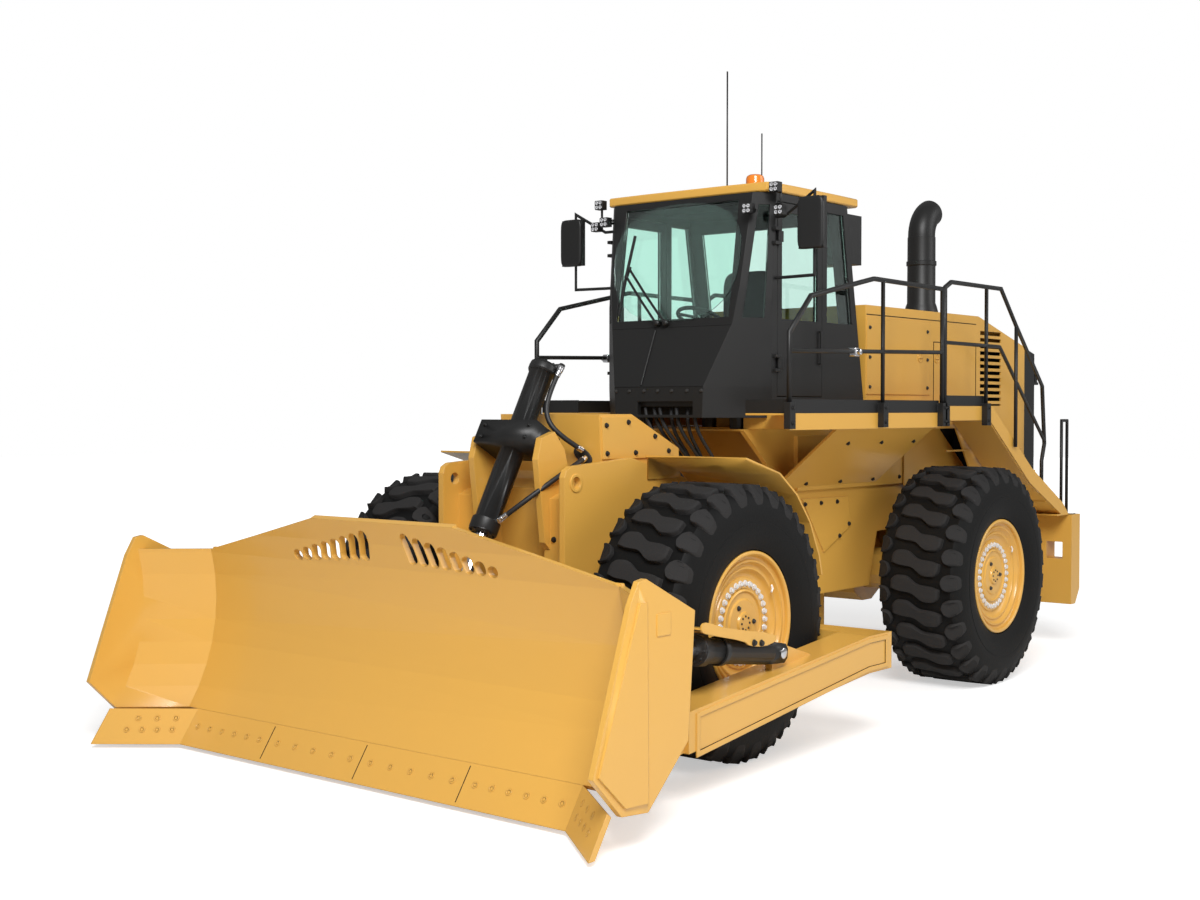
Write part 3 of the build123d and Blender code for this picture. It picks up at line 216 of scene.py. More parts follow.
yellow = finish("yellow_paint", (0.74, 0.405, 0.072), 0.34, coat=0.35, dust=0.06)
black = finish("black_paint", (0.013, 0.013, 0.013), 0.42, dust=0.03, gloss=0.4)
rubber = finish("tyre_rubber", (0.0045, 0.0045, 0.0045), 0.6, radius=0.003, scale=60.0, depth=0.002,
                dust=0.02, gloss=0.18)
tread = finish("tread_rubber", (0.025, 0.024, 0.024), 0.8, radius=0.004, scale=90.0, depth=0.003,
               dust=0.04, gloss=0.2)
chrome = finish("hard_chrome", (0.72, 0.72, 0.74), 0.16, metallic=1.0, radius=0.002, scale=400.0,
                depth=0.0001)
zinc = finish("zinc_plate", (0.86, 0.86, 0.86), 0.35, metallic=0.5, radius=0.001)
cast = finish("dark_casting", (0.03, 0.029, 0.028), 0.55, scale=120.0, depth=0.002, dust=0.1)
cloth = finish("seat_cloth", (0.022, 0.022, 0.026), 0.92, radius=0.002, scale=900.0, depth=0.0015)
hose_rubber = finish("hose_rubber", (0.014, 0.014, 0.015), 0.5, radius=0.001, scale=300.0, depth=0.0003)
# Near-black bars stand in for the gaps of seams and grooves: painted shade, not cut geometry.
painted_seam_shade = finish("seam_shadow", (0.004, 0.004, 0.004), 0.9)
glass = clear_finish("green_glass", (0.79, 0.955, 0.9), 0.0)
amber = finish("amber_lens", (0.85, 0.24, 0.02), 0.15, radius=0.002, coat=0.5)
red = finish("red_lens", (0.55, 0.012, 0.012), 0.15, radius=0.002, coat=0.5)
lens = clear_finish("clear_lens", (0.95, 0.95, 0.95), 0.05)
mirror_glass = finish("mirror_glass", (0.8, 0.82, 0.83), 0.03, metallic=1.0, radius=0.001, depth=0.0)

BY_SLOT = {"yellow": yellow, "black": black, "tyre": rubber, "chrome": chrome, "cast": cast,
           "seat": cloth, "glass": glass, "hose": hose_rubber}
for row in frame["record"]["subparts"]:
    node = nodes[row["node"]]
    node.data.materials.clear()
    node.data.materials.append(BY_SLOT[row["material_slot"]])

# %% [markdown]
# ## Surfaces of two parameters
#
# A surface is a grid of points, one row per step of the first parameter, and `skin` joins neighbours
# to quads. Blender's primitives could be moved about instead, but a profile says exactly what is
# turned about an axis, or swept along a path.

# %% Turned and swept surfaces


def skin(grid, wrap_rows=False, wrap_columns=True, caps=False):
    """Faces of a grid of points (rows, columns, 3): quads between neighbours, and fans over the ends."""
    rows, columns = grid.shape[:2]
    points = grid.reshape(-1, 3)
    faces = []
    for row in range(rows if wrap_rows else rows - 1):
        for column in range(columns if wrap_columns else columns - 1):
            a, b = row * columns + column, row * columns + (column + 1) % columns
            lift = ((row + 1) % rows - row) * columns
            faces.append((a, b, b + lift, a + lift))
    if caps:
        faces.append(tuple(range(columns))[::-1])
        faces.append(tuple(range((rows - 1) * columns, rows * columns)))
    return points, faces


def frame_of(direction):
    """Two unit vectors at right angles to a direction and to each other."""
    direction = np.asarray(direction, float) / np.linalg.norm(direction)
    helper = np.array([0, 0, 1.0]) if abs(direction[2]) < 0.9 else np.array([1.0, 0, 0])
    side = np.cross(helper, direction)
    side /= np.linalg.norm(side)
    return direction, side, np.cross(direction, side)


def lathe(profile, centre, axis, sides=48, closed=False):
    """Turned surface: point(i, t) = centre + along_i * axis + radius_i * (cos t * side + sin t * up)."""
    axis, side, up = frame_of(axis)
    turn = 2 * np.pi * (np.arange(sides) + 0.5) / sides
    ring = np.cos(turn)[:, None] * side + np.sin(turn)[:, None] * up
    along, radius = np.array(profile, float).T
    grid = np.asarray(centre) + along[:, None, None] * axis + radius[:, None, None] * ring[None]
    return skin(grid, wrap_rows=closed, caps=not closed)


def tube(points, radius, sides=12):
    """Round bar along a path: at each path point, a ring of the given radius square to the path."""
    points = np.array(points, float)
    ways = np.gradient(points, axis=0)
    turn = 2 * np.pi * np.arange(sides) / sides
    _, side, _ = frame_of(ways[0])
    rings = []
    for point, way in zip(points, ways):
        way = way / np.linalg.norm(way)
        side = side - way * side.dot(way)
        side /= np.linalg.norm(side)
        up = np.cross(way, side)
        rings.append(point + radius * (np.cos(turn)[:, None] * side + np.sin(turn)[:, None] * up))
    return skin(np.array(rings), caps=True)


print("a ring of 8:", len(lathe([(0, 1), (1, 1)], (0, 0, 0), (0, 0, 1), 8)[1]), "faces")

# %% [markdown]
# Castings and pads are soft boxes, sheet metal is an outline with a thickness, and a bolt is two
# turned surfaces. What comes in pairs is made once and mirrored.

# %% Boxes, plates and bolts


def rounded_box(low, high, power=0.22, steps=20):
    """Superellipsoid: each of cos and sin is raised to a small power, so a ball becomes a soft box."""
    low, high = np.array(low, float), np.array(high, float)
    middle, half = (low + high) / 2, (high - low) / 2
    curve = lambda value: np.sign(value) * np.abs(value) ** power
    u = np.linspace(-np.pi / 2, np.pi / 2, steps)[:, None]
    v = np.linspace(0, 2 * np.pi, 2 * steps, endpoint=False)[None]
    grid = np.stack([curve(np.cos(u)) * curve(np.cos(v)), curve(np.cos(u)) * curve(np.sin(v)),
                     curve(np.sin(u)) * np.ones_like(v)], axis=-1)
    return skin(middle + half * grid, caps=True)


def plate(outline, centre, across, up, thickness):
    """Flat plate: an outline of (a, b) pairs in the plane of across and up, thickened along its normal."""
    across, up = np.asarray(across, float), np.asarray(up, float)
    normal = np.cross(across, up)
    rim = np.array([np.asarray(centre) + a * across + b * up for a, b in outline])
    return skin(np.array([rim, rim + thickness * normal]), caps=True)


def bolt(place, axis, size=0.012):
    """Hexagon head on a round washer."""
    washer = lathe([(0, size * 1.35), (size * 0.25, size * 1.3)], place, axis, 16)
    head = lathe([(size * 0.2, size), (size * 0.95, size), (size * 1.1, size * 0.85)], place, axis, 6)
    return [washer, head]


def bolt_circle(centre, axis, radius, size, count=8):
    """Bolts evenly round an axis: place(t) = centre + radius * (cos t * side + sin t * up)."""
    _, side, up = frame_of(axis)
    heads = []
    for t in np.arange(count) * 2 * np.pi / count:
        heads += bolt(centre + radius * (np.cos(t) * side + np.sin(t) * up), axis, size)
    return heads


def moved(surface, place=(0, 0, 0), flip=1):
    """The surface, mirrored in X where flip is -1, and moved to a place."""
    points, faces = surface
    if flip < 0:
        faces = [face[::-1] for face in faces]
    return points * np.array([flip, 1, 1]) + np.asarray(place), faces


def mirrored(surfaces):
    """The surfaces and their mirror images across the machine's middle plane."""
    return surfaces + [moved(surface, flip=-1) for surface in surfaces]


print("a bolt has", sum(len(faces) for _, faces in bolt((0, 0, 0), (0, 0, 1))), "faces")

# %% [markdown]
# Surfaces that belong together become one mesh, so that the scene has few objects. Each piece rides
# on a body of the CAD part, and smooth shading stops at edges above 35 degrees.

# %% Pieces


def new_object(name, data):
    """An object in the scene that shows a mesh, curve, lamp or camera."""
    thing = bpy.data.objects.new(name, data)
    scene.collection.objects.link(thing)
    return thing


def add_piece(name, body, material, surfaces, smooth=True, replaces=()):
    """One mesh from several surfaces, with its finish, riding on a body of the CAD part."""
    points, faces, start = [], [], 0
    for surface_points, surface_faces in surfaces:
        points.append(surface_points)
        faces += [tuple(start + index for index in face) for face in surface_faces]
        start += len(surface_points)
    mesh = bpy.data.meshes.new(name)
    mesh.from_pydata(np.concatenate(points).tolist(), [], faces)
    mesh.update()
    piece = new_object(name, mesh)
    mesh.materials.append(material)
    if smooth:
        mesh.shade_smooth()
        mesh.set_sharp_from_angle(angle=math.radians(35))
    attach(piece, body)
    if replaces:
        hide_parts(*replaces)
    return piece


print("pieces go to", scene.collection.name)

# %% [markdown]
# ## Tyres
#
# The tyre carries long centre lugs that interlock and short lugs on its shoulders. Displacement would
# blur their walls, so each lug is an outline, softened by cutting its corners and raised from the
# turned carcass in four rings. Beyond the shoulder its base radius falls off, by the square of the
# distance.

# %% Carcass and tread
TYRE_R = 0.9
PITCHES = 27
FLOOR_R = 0.862
SHOULDER_X = 0.3
CROWN_FALL = 38
CARCASS = [(0.3, 0.4405), (0.3, 0.476), (0.327, 0.479), (0.338, 0.505), (0.354, 0.545), (0.364, 0.59),
           (0.369, 0.64), (0.3695, 0.655), (0.366, 0.66), (0.368, 0.67), (0.366, 0.71), (0.357, 0.76),
           (0.343, 0.805), (0.324, 0.84), (0.3, 0.86), (0.15, 0.864)]
CENTRE_LUG = [(-0.208, -0.004), (-0.203, 0.07), (-0.165, 0.104), (-0.07, 0.104), (0.02, 0.034),
              (0.14, 0.024), (0.195, 0.006)]
CENTRE_LUG += [(-x, -t) for x, t in CENTRE_LUG]
SHOULDER_LUG = [(0.245, -0.052), (0.222, 0.0), (0.245, 0.05), (0.29, 0.07), (0.352, 0.062),
                (0.356, -0.056), (0.29, -0.07)]


def soften(outline, times, cut=0.25):
    """Closed outline with each corner cut at a share of its two sides, several times."""
    points = np.array(outline)
    for _ in range(times):
        after = np.roll(points, -1, axis=0)
        near, far = (1 - cut) * points + cut * after, cut * points + (1 - cut) * after
        points = np.stack([near, far], axis=1).reshape(-1, 2)
    return points


def tread_lug(outline, turn, height):
    """Lug on the crown: point(x, t) lies at radius R(x) + height and angle turn + t / R(x)."""
    outline = soften(outline, 2, 0.17)
    middle = outline.mean(axis=0)
    rows = []
    for shrink, rise in ((1.04, -0.015), (1.0, height - 0.01), (0.965, height - 0.003), (0.91, height)):
        x, t = (middle + shrink * (outline - middle)).T
        fall = np.clip(np.abs(x) - SHOULDER_X, 0, None)
        radius = FLOOR_R - CROWN_FALL * fall ** 2 + rise
        angle = turn + t / TYRE_R
        rows.append(np.stack([x, radius * np.sin(angle), radius * np.cos(angle)], axis=-1))
    return skin(np.array(rows), caps=True)


half = np.array(CARCASS)
profile = np.concatenate([half, half[::-1] * [-1, 1]])
carcass = lathe(profile, (0, 0, 0), (1, 0, 0), 108, closed=True)
far_lug = [(-x, -t) for x, t in SHOULDER_LUG[::-1]]
stagger = 0.6 * np.pi / PITCHES
lugs = []
for turn in 2 * np.pi * np.arange(PITCHES) / PITCHES:
    lugs.append(tread_lug(CENTRE_LUG, turn, 0.038))
    lugs.append(tread_lug(SHOULDER_LUG, turn + stagger, 0.036))
    lugs.append(tread_lug(far_lug, turn - stagger, 0.036))
print(len(lugs), "lugs on a carcass of", len(carcass[1]), "faces")

# %% [markdown]
# ## Rims
#
# The rim shows its lip, gutter, the steps of the barrel and a dished disc with 30 nuts. All of it is
# round, so one closed profile is turned about the axle. It is made once, about the origin, and moved
# to the four wheels, mirrored on the right.

# %% Rim, nuts and hub
RIM = [(0.326, 0.47), (0.331, 0.463), (0.331, 0.45), (0.322, 0.441), (0.3, 0.438), (0.292, 0.43),
       (0.29, 0.414), (0.302, 0.408), (0.302, 0.398), (0.284, 0.39), (0.272, 0.378), (0.272, 0.366),
       (0.28, 0.36), (0.28, 0.35), (0.258, 0.338), (0.246, 0.318), (0.244, 0.3), (0.256, 0.292),
       (0.258, 0.222), (0.2, 0.22), (-0.195, 0.16),
       (-0.2, 0.412), (-0.326, 0.416), (-0.326, 0.47), (-0.3005, 0.47), (-0.3005, 0.44),
       (0.3005, 0.44), (0.3005, 0.47)]
HUB = [(0.19, 0.2195), (0.262, 0.2195), (0.268, 0.214), (0.27, 0.205), (0.258, 0.196), (0.256, 0.16),
       (0.266, 0.15), (0.268, 0.075), (0.28, 0.068), (0.283, 0.055), (0.283, 0.02)]
NUTS = 30
NUT_CIRCLE = 0.256
SIDES = (("left", 1), ("right", -1))
AXLE = (1, 0, 0)
rim = lathe(RIM, (0, 0, 0), AXLE, 96, closed=True)
hub = [lathe(HUB, (0, 0, 0), AXLE, 64)]
plugs = bolt_circle((0.267, 0, 0), AXLE, 0.115, 0.013, 3)
plugs += bolt_circle((0.282, 0, 0), AXLE, 0.045, 0.006)
nuts = bolt_circle((0.257, 0, 0), AXLE, NUT_CIRCLE, 0.0165, NUTS)
valve = [tube([(0.285, 0.3, 0.22), (0.3, 0.29, 0.2), (0.304, 0.27, 0.18)], 0.007, 8)]
for end in ("front", "rear"):
    for side, sign in SIDES:
        low, high = (np.array(corner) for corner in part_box(f"{end}_{side}_tyre"))
        centre = (low + high) / 2
        centre[2] = TYRE_R
        body = f"{end}_{side}_wheel"
        place = lambda surfaces: [moved(surface, centre, sign) for surface in surfaces]
        tyre = add_piece(f"tyre_{end}_{side}", body, rubber, place([carcass] + lugs),
                         replaces=[f"{end}_{side}_tyre"])
        tyre.data.materials.append(tread)
        for polygon in tyre.data.polygons:
            polygon.material_index = int(polygon.index >= len(carcass[1]))
        add_piece(f"rim_{end}_{side}", body, yellow, place([rim]),
                  replaces=[f"{end}_{side}_rim"])
        add_piece(f"hub_{end}_{side}", body, yellow, place(hub))
        add_piece(f"plugs_{end}_{side}", body, cast, place(plugs))
        add_piece(f"nuts_{end}_{side}", body, zinc, place(nuts + valve))
print("one tyre has", len(carcass[1]) + sum(len(faces) for _, faces in lugs), "faces")

# %% [markdown]
# ## Seats for small parts
#
# Bolts and seams sit on the CAD's plates. Their places could be typed in full, but a ray from a start
# point finds the surface and its normal, so that each head stands square to its plate.

# %% Rays and rows
bpy.context.view_layer.update()
FORWARD, BACK, UP, DOWN = (0, -1, 0), (0, 1, 0), (0, 0, 1), (0, 0, -1)
LEFTWARD, RIGHTWARD = (1, 0, 0), (-1, 0, 0)


def on_surface(node, start, way):
    """Point and outward normal where a ray from start along way first meets a CAD node."""
    hit, place, normal, _ = nodes[node].ray_cast(start, way)
    if not hit:
        raise ValueError(f"no surface of {node} from {start}")
    return np.array(place), np.array(normal)


def row(start, end, count):
    """Evenly spaced points: start + k / (count - 1) * (end - start)."""
    return np.linspace(np.array(start, float), np.array(end, float), count)


def bolts_on(node, way, starts, size=0.012):
    """Bolt heads where rays along way from the start points meet a node."""
    heads = []
    for start in starts:
        place, normal = on_surface(node, start, way)
        heads += bolt(place, normal, size)
    return heads


def bolts_both_sides(node, starts, size=0.012):
    """Bolt heads on the left flank of a node, from starts outside it, and mirrored on the right."""
    right = [(-x, y, z) for x, y, z in starts]
    return bolts_on(node, RIGHTWARD, starts, size) + bolts_on(node, LEFTWARD, right, size)


def seam_on(node, way, starts, radius=0.003):
    """Thin line on a node through the points that the rays meet."""
    return tube([on_surface(node, start, way)[0] for start in starts], radius, 6)


print("ray on the hood:", on_surface("hood", (2, 2, 2.7), RIGHTWARD)[0])

# %% [markdown]
# ## Blade
#
# Plough bolts hold the cutting edge in four sections of 6, 5, 5 and 6, and each end bit with seven.
# Their heads are flat cones with a socket. Seams could be cut by a Boolean, but thin dark bars of
# painted shade on the face read the same from a few metres.

# %% Edge bolts and seams
AHEAD = -6
EDGE_Z = 0.15
EDGE_INSET = 0.09
SECTIONS = [(-1.7, -0.87, 6), (-0.87, 0.0, 5), (0.0, 0.87, 5), (0.87, 1.7, 6)]
BIT_BOLTS = [(1.79, 0.19), (1.89, 0.19), (1.99, 0.19), (1.78, 0.12), (1.86, 0.12), (1.94, 0.12),
             (2.02, 0.12)]
PLOUGH = [(0, 0.023), (0.003, 0.022), (0.003, 0.014), (0.0005, 0.012)]
edge_bolts, edge_seams, starts = [], [], []
for low, high, count in SECTIONS:
    starts += list(row((low + EDGE_INSET, AHEAD, EDGE_Z), (high - EDGE_INSET, AHEAD, EDGE_Z), count))
for x, z in BIT_BOLTS:
    starts += [(x, AHEAD, z), (-x, AHEAD, z)]
for start in starts:
    place, normal = on_surface("cutting_edges", start, BACK)
    edge_bolts.append(lathe(PLOUGH, place, normal, 16))
for x, _, _ in SECTIONS[1:]:
    seam_line = row((x, AHEAD, 0.05), (x, AHEAD, 0.235), 3)
    edge_seams.append(seam_on("cutting_edges", BACK, seam_line))
add_piece("edge_bolts", "blade", yellow, edge_bolts)
pads = mirrored([rounded_box((2.199, -3.78, 1.1), (2.21, -3.66, 1.22), 0.1, 10)])
add_piece("end_plate_pads", "blade", yellow, pads)
add_piece("edge_seams", "blade", painted_seam_shade, edge_seams)
print(len(edge_bolts), "plough bolts and", len(edge_seams), "seams on the cutting edge")

# %% [markdown]
# ## Cylinders and hoses
#
# Two hoses feed the lift cylinder. Each is a NURBS cord along the points of its route, because a curve
# bends evenly and keeps its thickness. A chrome sleeve and nut close its near end, and a short sleeve
# its far end.

# %% Hoses of the lift cylinder
UPPER_ROUTE = [(0.118, -2.12, 2.546), (0.116, -2.225, 2.4), (0.14, -2.3, 2.23),
               (0.235, -2.262, 2.1), (0.325, -2.12, 2.0)]
LOWER_ROUTE = [(0.11, -2.699, 1.56), (0.405, -2.59, 1.79), (0.345, -2.12, 1.95)]
HOSE_R = 0.0175


def cord_length(points):
    """Length of the NURBS line, read from the curve's own evaluated points."""
    line = points.copy()
    line.bevel_depth = 0
    probe = bpy.data.objects.new("probe", line)
    mesh = bpy.data.meshes.new_from_object(probe)
    spots = np.array([vertex.co for vertex in mesh.vertices])
    bpy.data.objects.remove(probe)
    return float(np.linalg.norm(np.diff(spots, axis=0), axis=1).sum())


def hose_cord(name, route, node):
    """A round hose whose centreline is the NURBS spline with the route as control points."""
    curve = bpy.data.curves.new(name, "CURVE")
    curve.dimensions = "3D"
    spline = curve.splines.new("NURBS")
    spline.points.add(len(route) - 1)
    for point, place in zip(spline.points, route):
        point.co = (*place, 1)
    spline.order_u = 3
    spline.use_endpoint_u = True
    spline.resolution_u = 12
    curve.bevel_depth = HOSE_R
    curve.bevel_resolution = 4
    curve.use_fill_caps = True
    curve.materials.append(hose_rubber)
    piece = new_object(name, curve)
    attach(piece, "lift_cylinder")
    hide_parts(node)
    cord_length(curve)
    print(name, "is", round(cord_length(curve), 3), "m long")
    return piece


def fitting(end, before):
    """Swaged sleeve and hexagon nut of a hose end, along its last run."""
    end, before = np.array(end), np.array(before)
    way = (before - end) / np.linalg.norm(before - end)
    sleeve = [(-0.012, 0.0235), (0.012, 0.0235), (0.015, 0.021), (0.05, 0.021), (0.054, 0.0195)]
    nut = [(-0.03, 0.022), (-0.026, 0.026), (-0.008, 0.026), (-0.004, 0.022)]
    return [lathe(sleeve, end, way, 20), lathe(nut, end, way, 6)]


SHORT_SLEEVE = [(0.002, 0.019), (0.003, 0.021), (0.04, 0.021), (0.044, 0.0195)]
hose_cord("upper_hose", UPPER_ROUTE, "lift_hose_upper")
hose_cord("lower_hose", LOWER_ROUTE, "lift_hose_lower")
ends = []
for route in (UPPER_ROUTE, LOWER_ROUTE):
    ends += fitting(route[0], route[1])
    last, before = np.array(route[-1]), np.array(route[-2])
    ends.append(lathe(SHORT_SLEEVE, last, before - last, 20))
add_piece("hose_fittings", "lift_cylinder", chrome, ends)
print(len(ends), "fittings")

# %% [markdown]
# The lift cylinder's barrel gets a gland and a cap, turned about its axis, with their bolts, and the
# yoke that carries it gets four bolts on each face.

# %% Barrel trim
LIFT_TOP = np.array([0, -2.43, 2.07])
LIFT_AXIS = np.array([0, -0.487, -0.8734])
LIFT_FRONT = np.array([0, -0.8734, 0.487])
CAP_END, GLAND_END = -0.59, 0.692
CAP = [(CAP_END, 0.05), (-0.586, 0.09), (-0.56, 0.0985), (-0.53, 0.0985), (-0.52, 0.088)]
GLAND = [(0.6, 0.088), (0.604, 0.0985), (0.676, 0.0985), (0.691, 0.09), (GLAND_END, 0.058)]


def lift_at(distance):
    """Point on the lift cylinder's axis, at a distance below its trunnion."""
    return LIFT_TOP + distance * LIFT_AXIS


barrel_trim = [lathe(profile, LIFT_TOP, LIFT_AXIS, 40) for profile in (CAP, GLAND)]
barrel_trim += bolt_circle(lift_at(GLAND_END), LIFT_AXIS, 0.078, 0.008)
barrel_trim += bolt_circle(lift_at(CAP_END), -LIFT_AXIS, 0.078, 0.008)
for face in (LIFT_FRONT, -LIFT_FRONT):
    for lengthwise in (-0.045, 0.045):
        for sideways in (-0.2, 0.2):
            yoke_bolt = lift_at(lengthwise) + 0.135 * face + (sideways, 0, 0)
            barrel_trim += bolt(yoke_bolt, face)
add_piece("lift_barrel_trim", "lift_cylinder", black, barrel_trim)
print("lift cylinder trim:", len(barrel_trim), "surfaces")

# %% [markdown]
# Each tip cylinder gets a gland with eight bolts and a band, turned about its own axis and mirrored.
# The push frame gets the bright ends of the rear pins, and dark bars of painted shade for the groove
# round the cover plate of each arm.

# %% Tip cylinders and arm grooves
TIP_REAR = np.array([1.77, -1.985, 0.76])
TIP_WAY = np.array([0, -1.195, 0.16])
TIP_GLAND = [(0.8, 0.07), (0.802, 0.088), (0.856, 0.088), (0.861, 0.08), (0.862, 0.045)]
TIP_BAND = [(0.6, 0.078), (0.602, 0.089), (0.64, 0.089), (0.642, 0.078)]
gland_face = TIP_REAR + 0.8615 * TIP_WAY / np.linalg.norm(TIP_WAY)
trim = [lathe(profile, TIP_REAR, TIP_WAY, 40) for profile in (TIP_GLAND, TIP_BAND)]
trim += bolt_circle(gland_face, TIP_WAY, 0.066, 0.007)
for side, sign in SIDES:
    add_piece(f"tip_trim_{side}", f"tip_cylinder_{side}", black,
              [moved(part, flip=sign) for part in trim])

pins = [lathe([(0, 0.034), (0.014, 0.034), (0.017, 0.028)], TIP_REAR + (0.058, 0, 0), LEFTWARD, 24)]
add_piece("tip_pin_ends", "push_frame", chrome, mirrored(pins))
GROOVE_X = 1.8905
GROOVE = [(-2.96, 0.325), (-2.96, 0.52), (-1.01, 0.715), (-0.79, 0.715), (-0.79, 0.555),
          (-1.01, 0.555), (-2.96, 0.325)]
corners = [(GROOVE_X, y, z) for y, z in GROOVE]
grooves = [tube([start, end], 0.0035, 6) for start, end in zip(corners, corners[1:])]
add_piece("arm_grooves", "push_frame", painted_seam_shade, mirrored(grooves))
print("tip cylinder trim:", len(trim), "surfaces; grooves:", len(grooves), "runs an arm")

# %% [markdown]
# ## Frames
#
# Covers, lids and brackets are bolted on. The bolts come from lists of y and z, and rays from outside
# find how far each plate stands out. Rings stand round the lifting holes, studs give grip on the
# bumper's step, and red lamps sit on the guard.

# %% Bolts on both frames
LID = [(-2.04, 2.17), (-1.8, 2.19), (-1.5, 2.09), (-2.03, 1.98), (-1.72, 1.98), (-1.34, 1.985)]
COVER = [(0.31, 1.53), (0.55, 1.53), (0.8, 1.53), (0.99, 1.34), (0.84, 1.25)]
front_bolts = bolts_both_sides("front_frame", [(0.52, y, z) for y, z in LID], 0.014)
front_bolts += bolts_on("front_frame", BACK, [(x, -5, 1.42) for x in (-0.46, -0.35, 0.35, 0.46)], 0.015)
add_piece("front_frame_bolts", "front_frame", black, front_bolts)

ring_section = [(0.568, 0.041), (0.576, 0.041), (0.576, 0.06), (0.568, 0.062)]
rings = mirrored([lathe(ring_section, (0, -2.486, 1.8), LEFTWARD, 32, closed=True)])
add_piece("lifting_rings", "front_frame", yellow, rings)
oval = [(0.085 * np.cos(t), 0.045 * np.sin(t)) for t in np.arange(28) * 2 * np.pi / 28]
tilt = np.array([0.5, 0, 0.866])
grommet = [plate(oval, (0.3, -2.084, 1.965), np.cross(tilt, (0, -1, 0)), tilt, 0.014)]
add_piece("hose_grommet", "front_frame", cast, grommet)

BESIDE = 3
tank = [(BESIDE, y, z) for y in (0.23, 0.75, 1.28, 1.8) for z in (1.7, 2.02)]
rear_bolts = bolts_both_sides("rear_frame", [(BESIDE, y, z) for y, z in COVER] + tank, 0.014)
add_piece("rear_frame_bolts", "rear_frame", black, rear_bolts)
sockets = [(BESIDE, y, z) for y in (-0.89, 0.444, 1.429, 1.476, 2.247) for z in (2.18, 2.29)]
socket_bolts = bolts_both_sides("kick_plates", sockets)
add_piece("socket_bolts", "rear_frame", black, socket_bolts)

STUD = [(0, 0.013), (0.004, 0.011), (0.005, 0.006)]
RAIL_X = 1.07
studs = []
for x in np.linspace(0.68, 1.15, 9):
    for y in np.linspace(4.14, 4.26, 4):
        if abs(x - RAIL_X) > 0.05:
            studs.append(lathe(STUD, (x, y, 1.275), UP, 10))
add_piece("bumper_studs", "rear_frame", cast, mirrored(studs))
lamps = mirrored([rounded_box((0.66, 4.262, 2.606), (0.72, 4.296, 2.694), 0.15, 10)])
add_piece("tail_lamps", "radiator_guard", red, lamps)
bolts = len(front_bolts + rear_bolts + socket_bolts) // 2
print(bolts, "bolts and", 2 * len(studs), "studs")

# %% [markdown]
# ## Hood and exhaust
#
# The stack is a silencer, a clamp and a pipe that bends back. The first two are turned, and the pipe
# is a bar along a part of a circle, which keeps its section round through the bend.

# %% Exhaust stack
STACK = (0.3, 2.75, 2.75)
BEND_R, BEND_Z = 0.24, 3.86
SILENCER = [(0, 0.16), (0.3, 0.165), (0.4, 0.158), (0.47, 0.14), (0.5, 0.128), (1.1, 0.126)]
CLAMP = [(0.84, 0.126), (0.842, 0.136), (0.88, 0.136), (0.882, 0.126)]
elbow = [(STACK[0], STACK[1], 3.6), (STACK[0], STACK[1], BEND_Z)]
for t in np.linspace(0.15, 1.25, 9):
    elbow.append((STACK[0], STACK[1] + BEND_R * (1 - np.cos(t)), BEND_Z + BEND_R * np.sin(t)))
stack = [lathe(profile, STACK, UP, 48) for profile in (SILENCER, CLAMP)] + [tube(elbow, 0.122, 40)]
add_piece("exhaust", "rear_frame", black, stack, replaces=["exhaust_stack"])
print("the pipe ends", round(elbow[-1][2], 3), "m up")

# %% [markdown]
# The hood's side panels are sheet doors. Bolts, two latches with a ring and a paddle, and seams of
# painted shade show where they end.

# %% Hood latches, bolts and seams
LATCH = [(0.0, 0.045), (0.006, 0.043), (0.006, 0.034), (0.002, 0.032)]
SEAMS = [((2.06, 2.32), (2.06, 2.86), 5), ((2.88, 2.32), (2.88, 2.86), 5),
         ((2.06, 2.86), (2.88, 2.86), 5), ((0.9, 3.045), (2.88, 3.045), 7)]
hood_bolts = bolts_both_sides("hood", [(BESIDE, y, z) for y in (0.94, 1.93) for z in (2.46, 2.7, 2.94)])
add_piece("hood_bolts", "rear_frame", cast, hood_bolts)
latches = []
for y, z in ((1.8, 2.72), (2.12, 2.72)):
    place, _ = on_surface("hood", (BESIDE, y, z), RIGHTWARD)
    latches += [lathe(LATCH, place, LEFTWARD, 24)]
    latches += [rounded_box(place - (0.004, 0.03, 0.01), place + (0.012, 0.03, 0.01), 0.2, 10)]
add_piece("hood_latches", "rear_frame", yellow, mirrored(latches))
panel_seams = []
for start, end, count in SEAMS:
    panel_seams.append(seam_on("hood", RIGHTWARD, row((BESIDE, *start), (BESIDE, *end), count), 0.004))
add_piece("hood_seams", "rear_frame", painted_seam_shade, mirrored(panel_seams))
print(len(hood_bolts) // 2, "hood bolts and", len(panel_seams), "seams a side")

# %% [markdown]
# ## Cab
#
# The cab's skirt is held by a row of bolts in front and at each side. A seam of painted shade over it
# and one under the windscreen part the sheets, which are one solid in the CAD.

# %% Skirt
skirt = [(x, -3, 2.415) for x in (-0.4, -0.27, -0.13, 0.0, 0.13, 0.27, 0.4)]
side_row = [(BESIDE, y, 2.33) for y in (-0.42, -0.2, 0.02, 0.24, 0.5, 0.76)]
cab_bolts = bolts_on("cab_shell", BACK, skirt) + bolts_both_sides("cab_shell", side_row)
add_piece("cab_bolts", "rear_frame", cast, cab_bolts)
skirt_seam = seam_on("cab_shell", BACK, row((-0.415, -3, 2.448), (0.415, -3, 2.448), 5), 0.004)
sill_seam = seam_on("cab_shell", BACK, row((-0.56, -3, 2.9), (0.56, -3, 2.9), 5), 0.003)
add_piece("cab_seams", "rear_frame", painted_seam_shade, [skirt_seam, sill_seam])
print(len(cab_bolts) // 2, "cab bolts")

# %% [markdown]
# The windscreen is bonded over the front, so its outline has round corners and no frame. It is drawn
# in the plane of the opening, from 0 at the foot to 1 at the brow, so that the same function places
# the wipers. The head lining is seen through it.

# %% Bonded windscreen and head lining
FOOT, BROW = np.array([0.585, -0.697, 2.909]), np.array([0.65, -0.555, 3.88])


